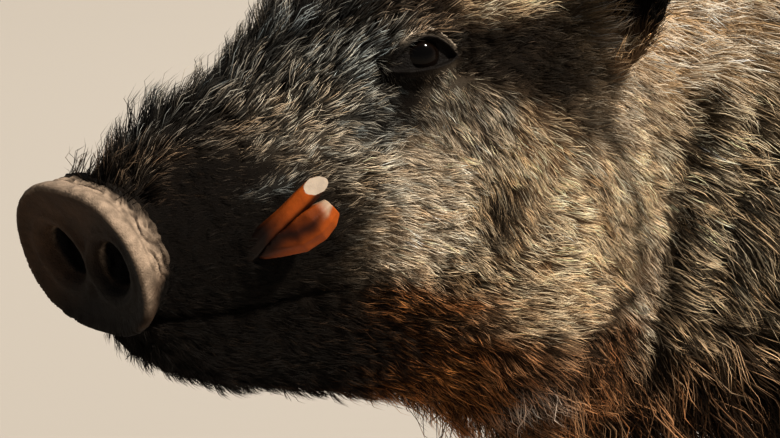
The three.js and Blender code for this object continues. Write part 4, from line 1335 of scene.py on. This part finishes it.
def make_eye(name, side, material):
    """A round ball with a low clear bulge over the iris, painted in rings."""
    rings, around = EYE_RINGS, EYE_AROUND
    gaze = head_vector(0.54, side * 0.80, 0.30)
    helper = unit(np.cross(gaze, UP))
    above = np.cross(helper, gaze)
    polar = np.repeat(np.linspace(0, math.pi, rings + 1)[1:-1], around)
    turn = np.tile(np.arange(around) * 2 * math.pi / around, rings - 1)
    polar = np.concatenate([[0.0], polar, [math.pi]])
    turn = np.concatenate([[0.0], turn, [0.0]])
    flat = helper * np.cos(turn)[:, None] + above * np.sin(turn)[:, None]
    ray = gaze * np.cos(polar)[:, None] + flat * np.sin(polar)[:, None]
    bulge = 1 + 0.045 * ramp(0.75, 0.25, polar)
    points = eye_centre(side) + ray * (EYE_RADIUS * bulge)[:, None]
    pupil = np.hypot(np.sin(polar) * np.cos(turn) / 0.40, np.sin(polar) * np.sin(turn) / 0.26)
    colours = mix((0.0010, 0.0008, 0.0007), (0.0026, 0.0015, 0.0010), ramp(0.85, 1.15, pupil)[:, None])
    colours = mix(colours, (0.002, 0.0018, 0.0018), ramp(0.66, 0.80, polar)[:, None])
    rear = ramp(0.15, -0.25, ray @ eye_axes(side)[0])
    edge = mix((0.006, 0.0054, 0.0054), (0.10, 0.12, 0.155), rear[:, None])
    colours = mix(colours, edge, ramp(0.98, 1.12, polar)[:, None])
    faces = []
    last = len(points) - 1
    for j in range(around):
        k = (j + 1) % around
        faces.append((0, 1 + j, 1 + k))
        faces.append((last, last - around + k, last - around + j))
        for i in range(rings - 2):
            a, b = 1 + i * around, 1 + (i + 1) * around
            faces.append((a + j, b + j, b + k, a + k))
    eye = mesh_object(name + "_ball", points, faces, material)
    paint(eye.data, colours)
    smooth_shade(eye.data)
    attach(eye, "root")
    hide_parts(name)


def smooth_copy(node, label, voxel, rounds, material):
    """A finer, rounder copy of a CAD node, in its place."""
    piece = remeshed(placed(label, NODES[node].data.copy()), voxel)
    edges = edges_of(piece.data)
    set_points(piece.data, relax(points_of(piece.data), edges, rounds, 0.55))
    smooth_shade(piece.data)
    piece.data.materials.clear()
    piece.data.materials.append(material)
    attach(piece, "root")
    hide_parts(node)
    return piece


# Middle line of each tusk: behind the disc, and above its centre.
TUSK_AXES = {
    "lower": [(84, -18), (93, -2), (105, 15), (117, 28), (127, 38)],
    "upper": [(93, -9), (100, -3), (111, 2), (121, 10), (128, 17)],
}


def wear_facet(points, side):
    """Cuts the end of a lower tusk off along a flat facet. Also how much was cut at each point."""
    facet = head_vector(0.16, side * 0.80, 0.58)
    start = head_point(115, side * 71.5, 27)
    way = head_vector(-0.67, side * 0.33, 0.67)
    proud = np.clip((points - start) @ facet, 0, None)
    return points - way * (proud / (way @ facet))[:, None], proud / MM


def make_tusk(level, node, side, material):
    """The lower tusk has a pale worn facet at its end; the upper one is a blunt stained lobe. Both carry
    painted shade: brown under the lower one's orange top, brown in the upper one's hollow middle, and dark
    where they go into the lip.
    """
    piece = smooth_copy(node, node + "_ivory", TUSK_VOXEL, TUSK_ROUNDS, material)
    points = points_of(piece.data)
    if level == "lower":
        points, cut = wear_facet(points, side)
        set_points(piece.data, points)
    behind, _, above = head_places(points).T
    middle_above = np.interp(behind, *zip(*TUSK_AXES[level]))
    off = above - middle_above + 1.5 * noise(points, 5 * MM, 8.0)
    orange, brown = np.array([0.27, 0.050, 0.005]), np.array([0.020, 0.004, 0.0012])
    ivory = np.array([0.26, 0.205, 0.155])
    if level == "lower":
        # Painted light: the shaft is orange along its top, where the light falls, and brown below it as
        # painted shade.
        colour = mix(brown, orange * 0.95, ramp(-5, 3, off)[:, None])
        worn = np.maximum(ramp(0.0, 0.5, cut), ramp(33, 39, above))
        colour = mix(colour, ivory, worn[:, None])
    else:
        # Painted shade: the lobe's hollow middle is brown, and its stained orange shows at the edges.
        hollow_shade = bell(off, 7.0, 8.0) * ramp(124, 113, behind)
        colour = mix(orange, brown, (0.12 + 0.88 * hollow_shade)[:, None])
        worn = ramp(2.0, 6.0, off) * ramp(117, 124, behind)
        colour = mix(colour, ivory * (1.0, 0.85, 0.75), worn[:, None])
    # Painted shade where the tusk goes into the lip.
    lip_shade = ramp(108, 93, behind)
    paint(piece.data, mix(colour, (0.006, 0.003, 0.002), lip_shade[:, None]))


def make_parts():
    eye, tusk, horn = eye_material(), tusk_material(), horn_material()
    for word, side in SIDES.items():
        make_eye(f"eye_{word}", side, eye)
        for level in ("lower", "upper"):
            make_tusk(level, f"{level}_tusk_{word}", side, tusk)
    for name in sorted(NODES):
        if name.startswith(("hoof", "dewclaw")):
            smooth_copy(name, name + "_horn", HORN_VOXEL, HORN_ROUNDS, horn)


# ------------------------------------------------------------------ everything
make_camera()
make_floor()
make_lights()
boar_skin = make_skin()
make_parts()
make_coat(boar_skin, coat_material())
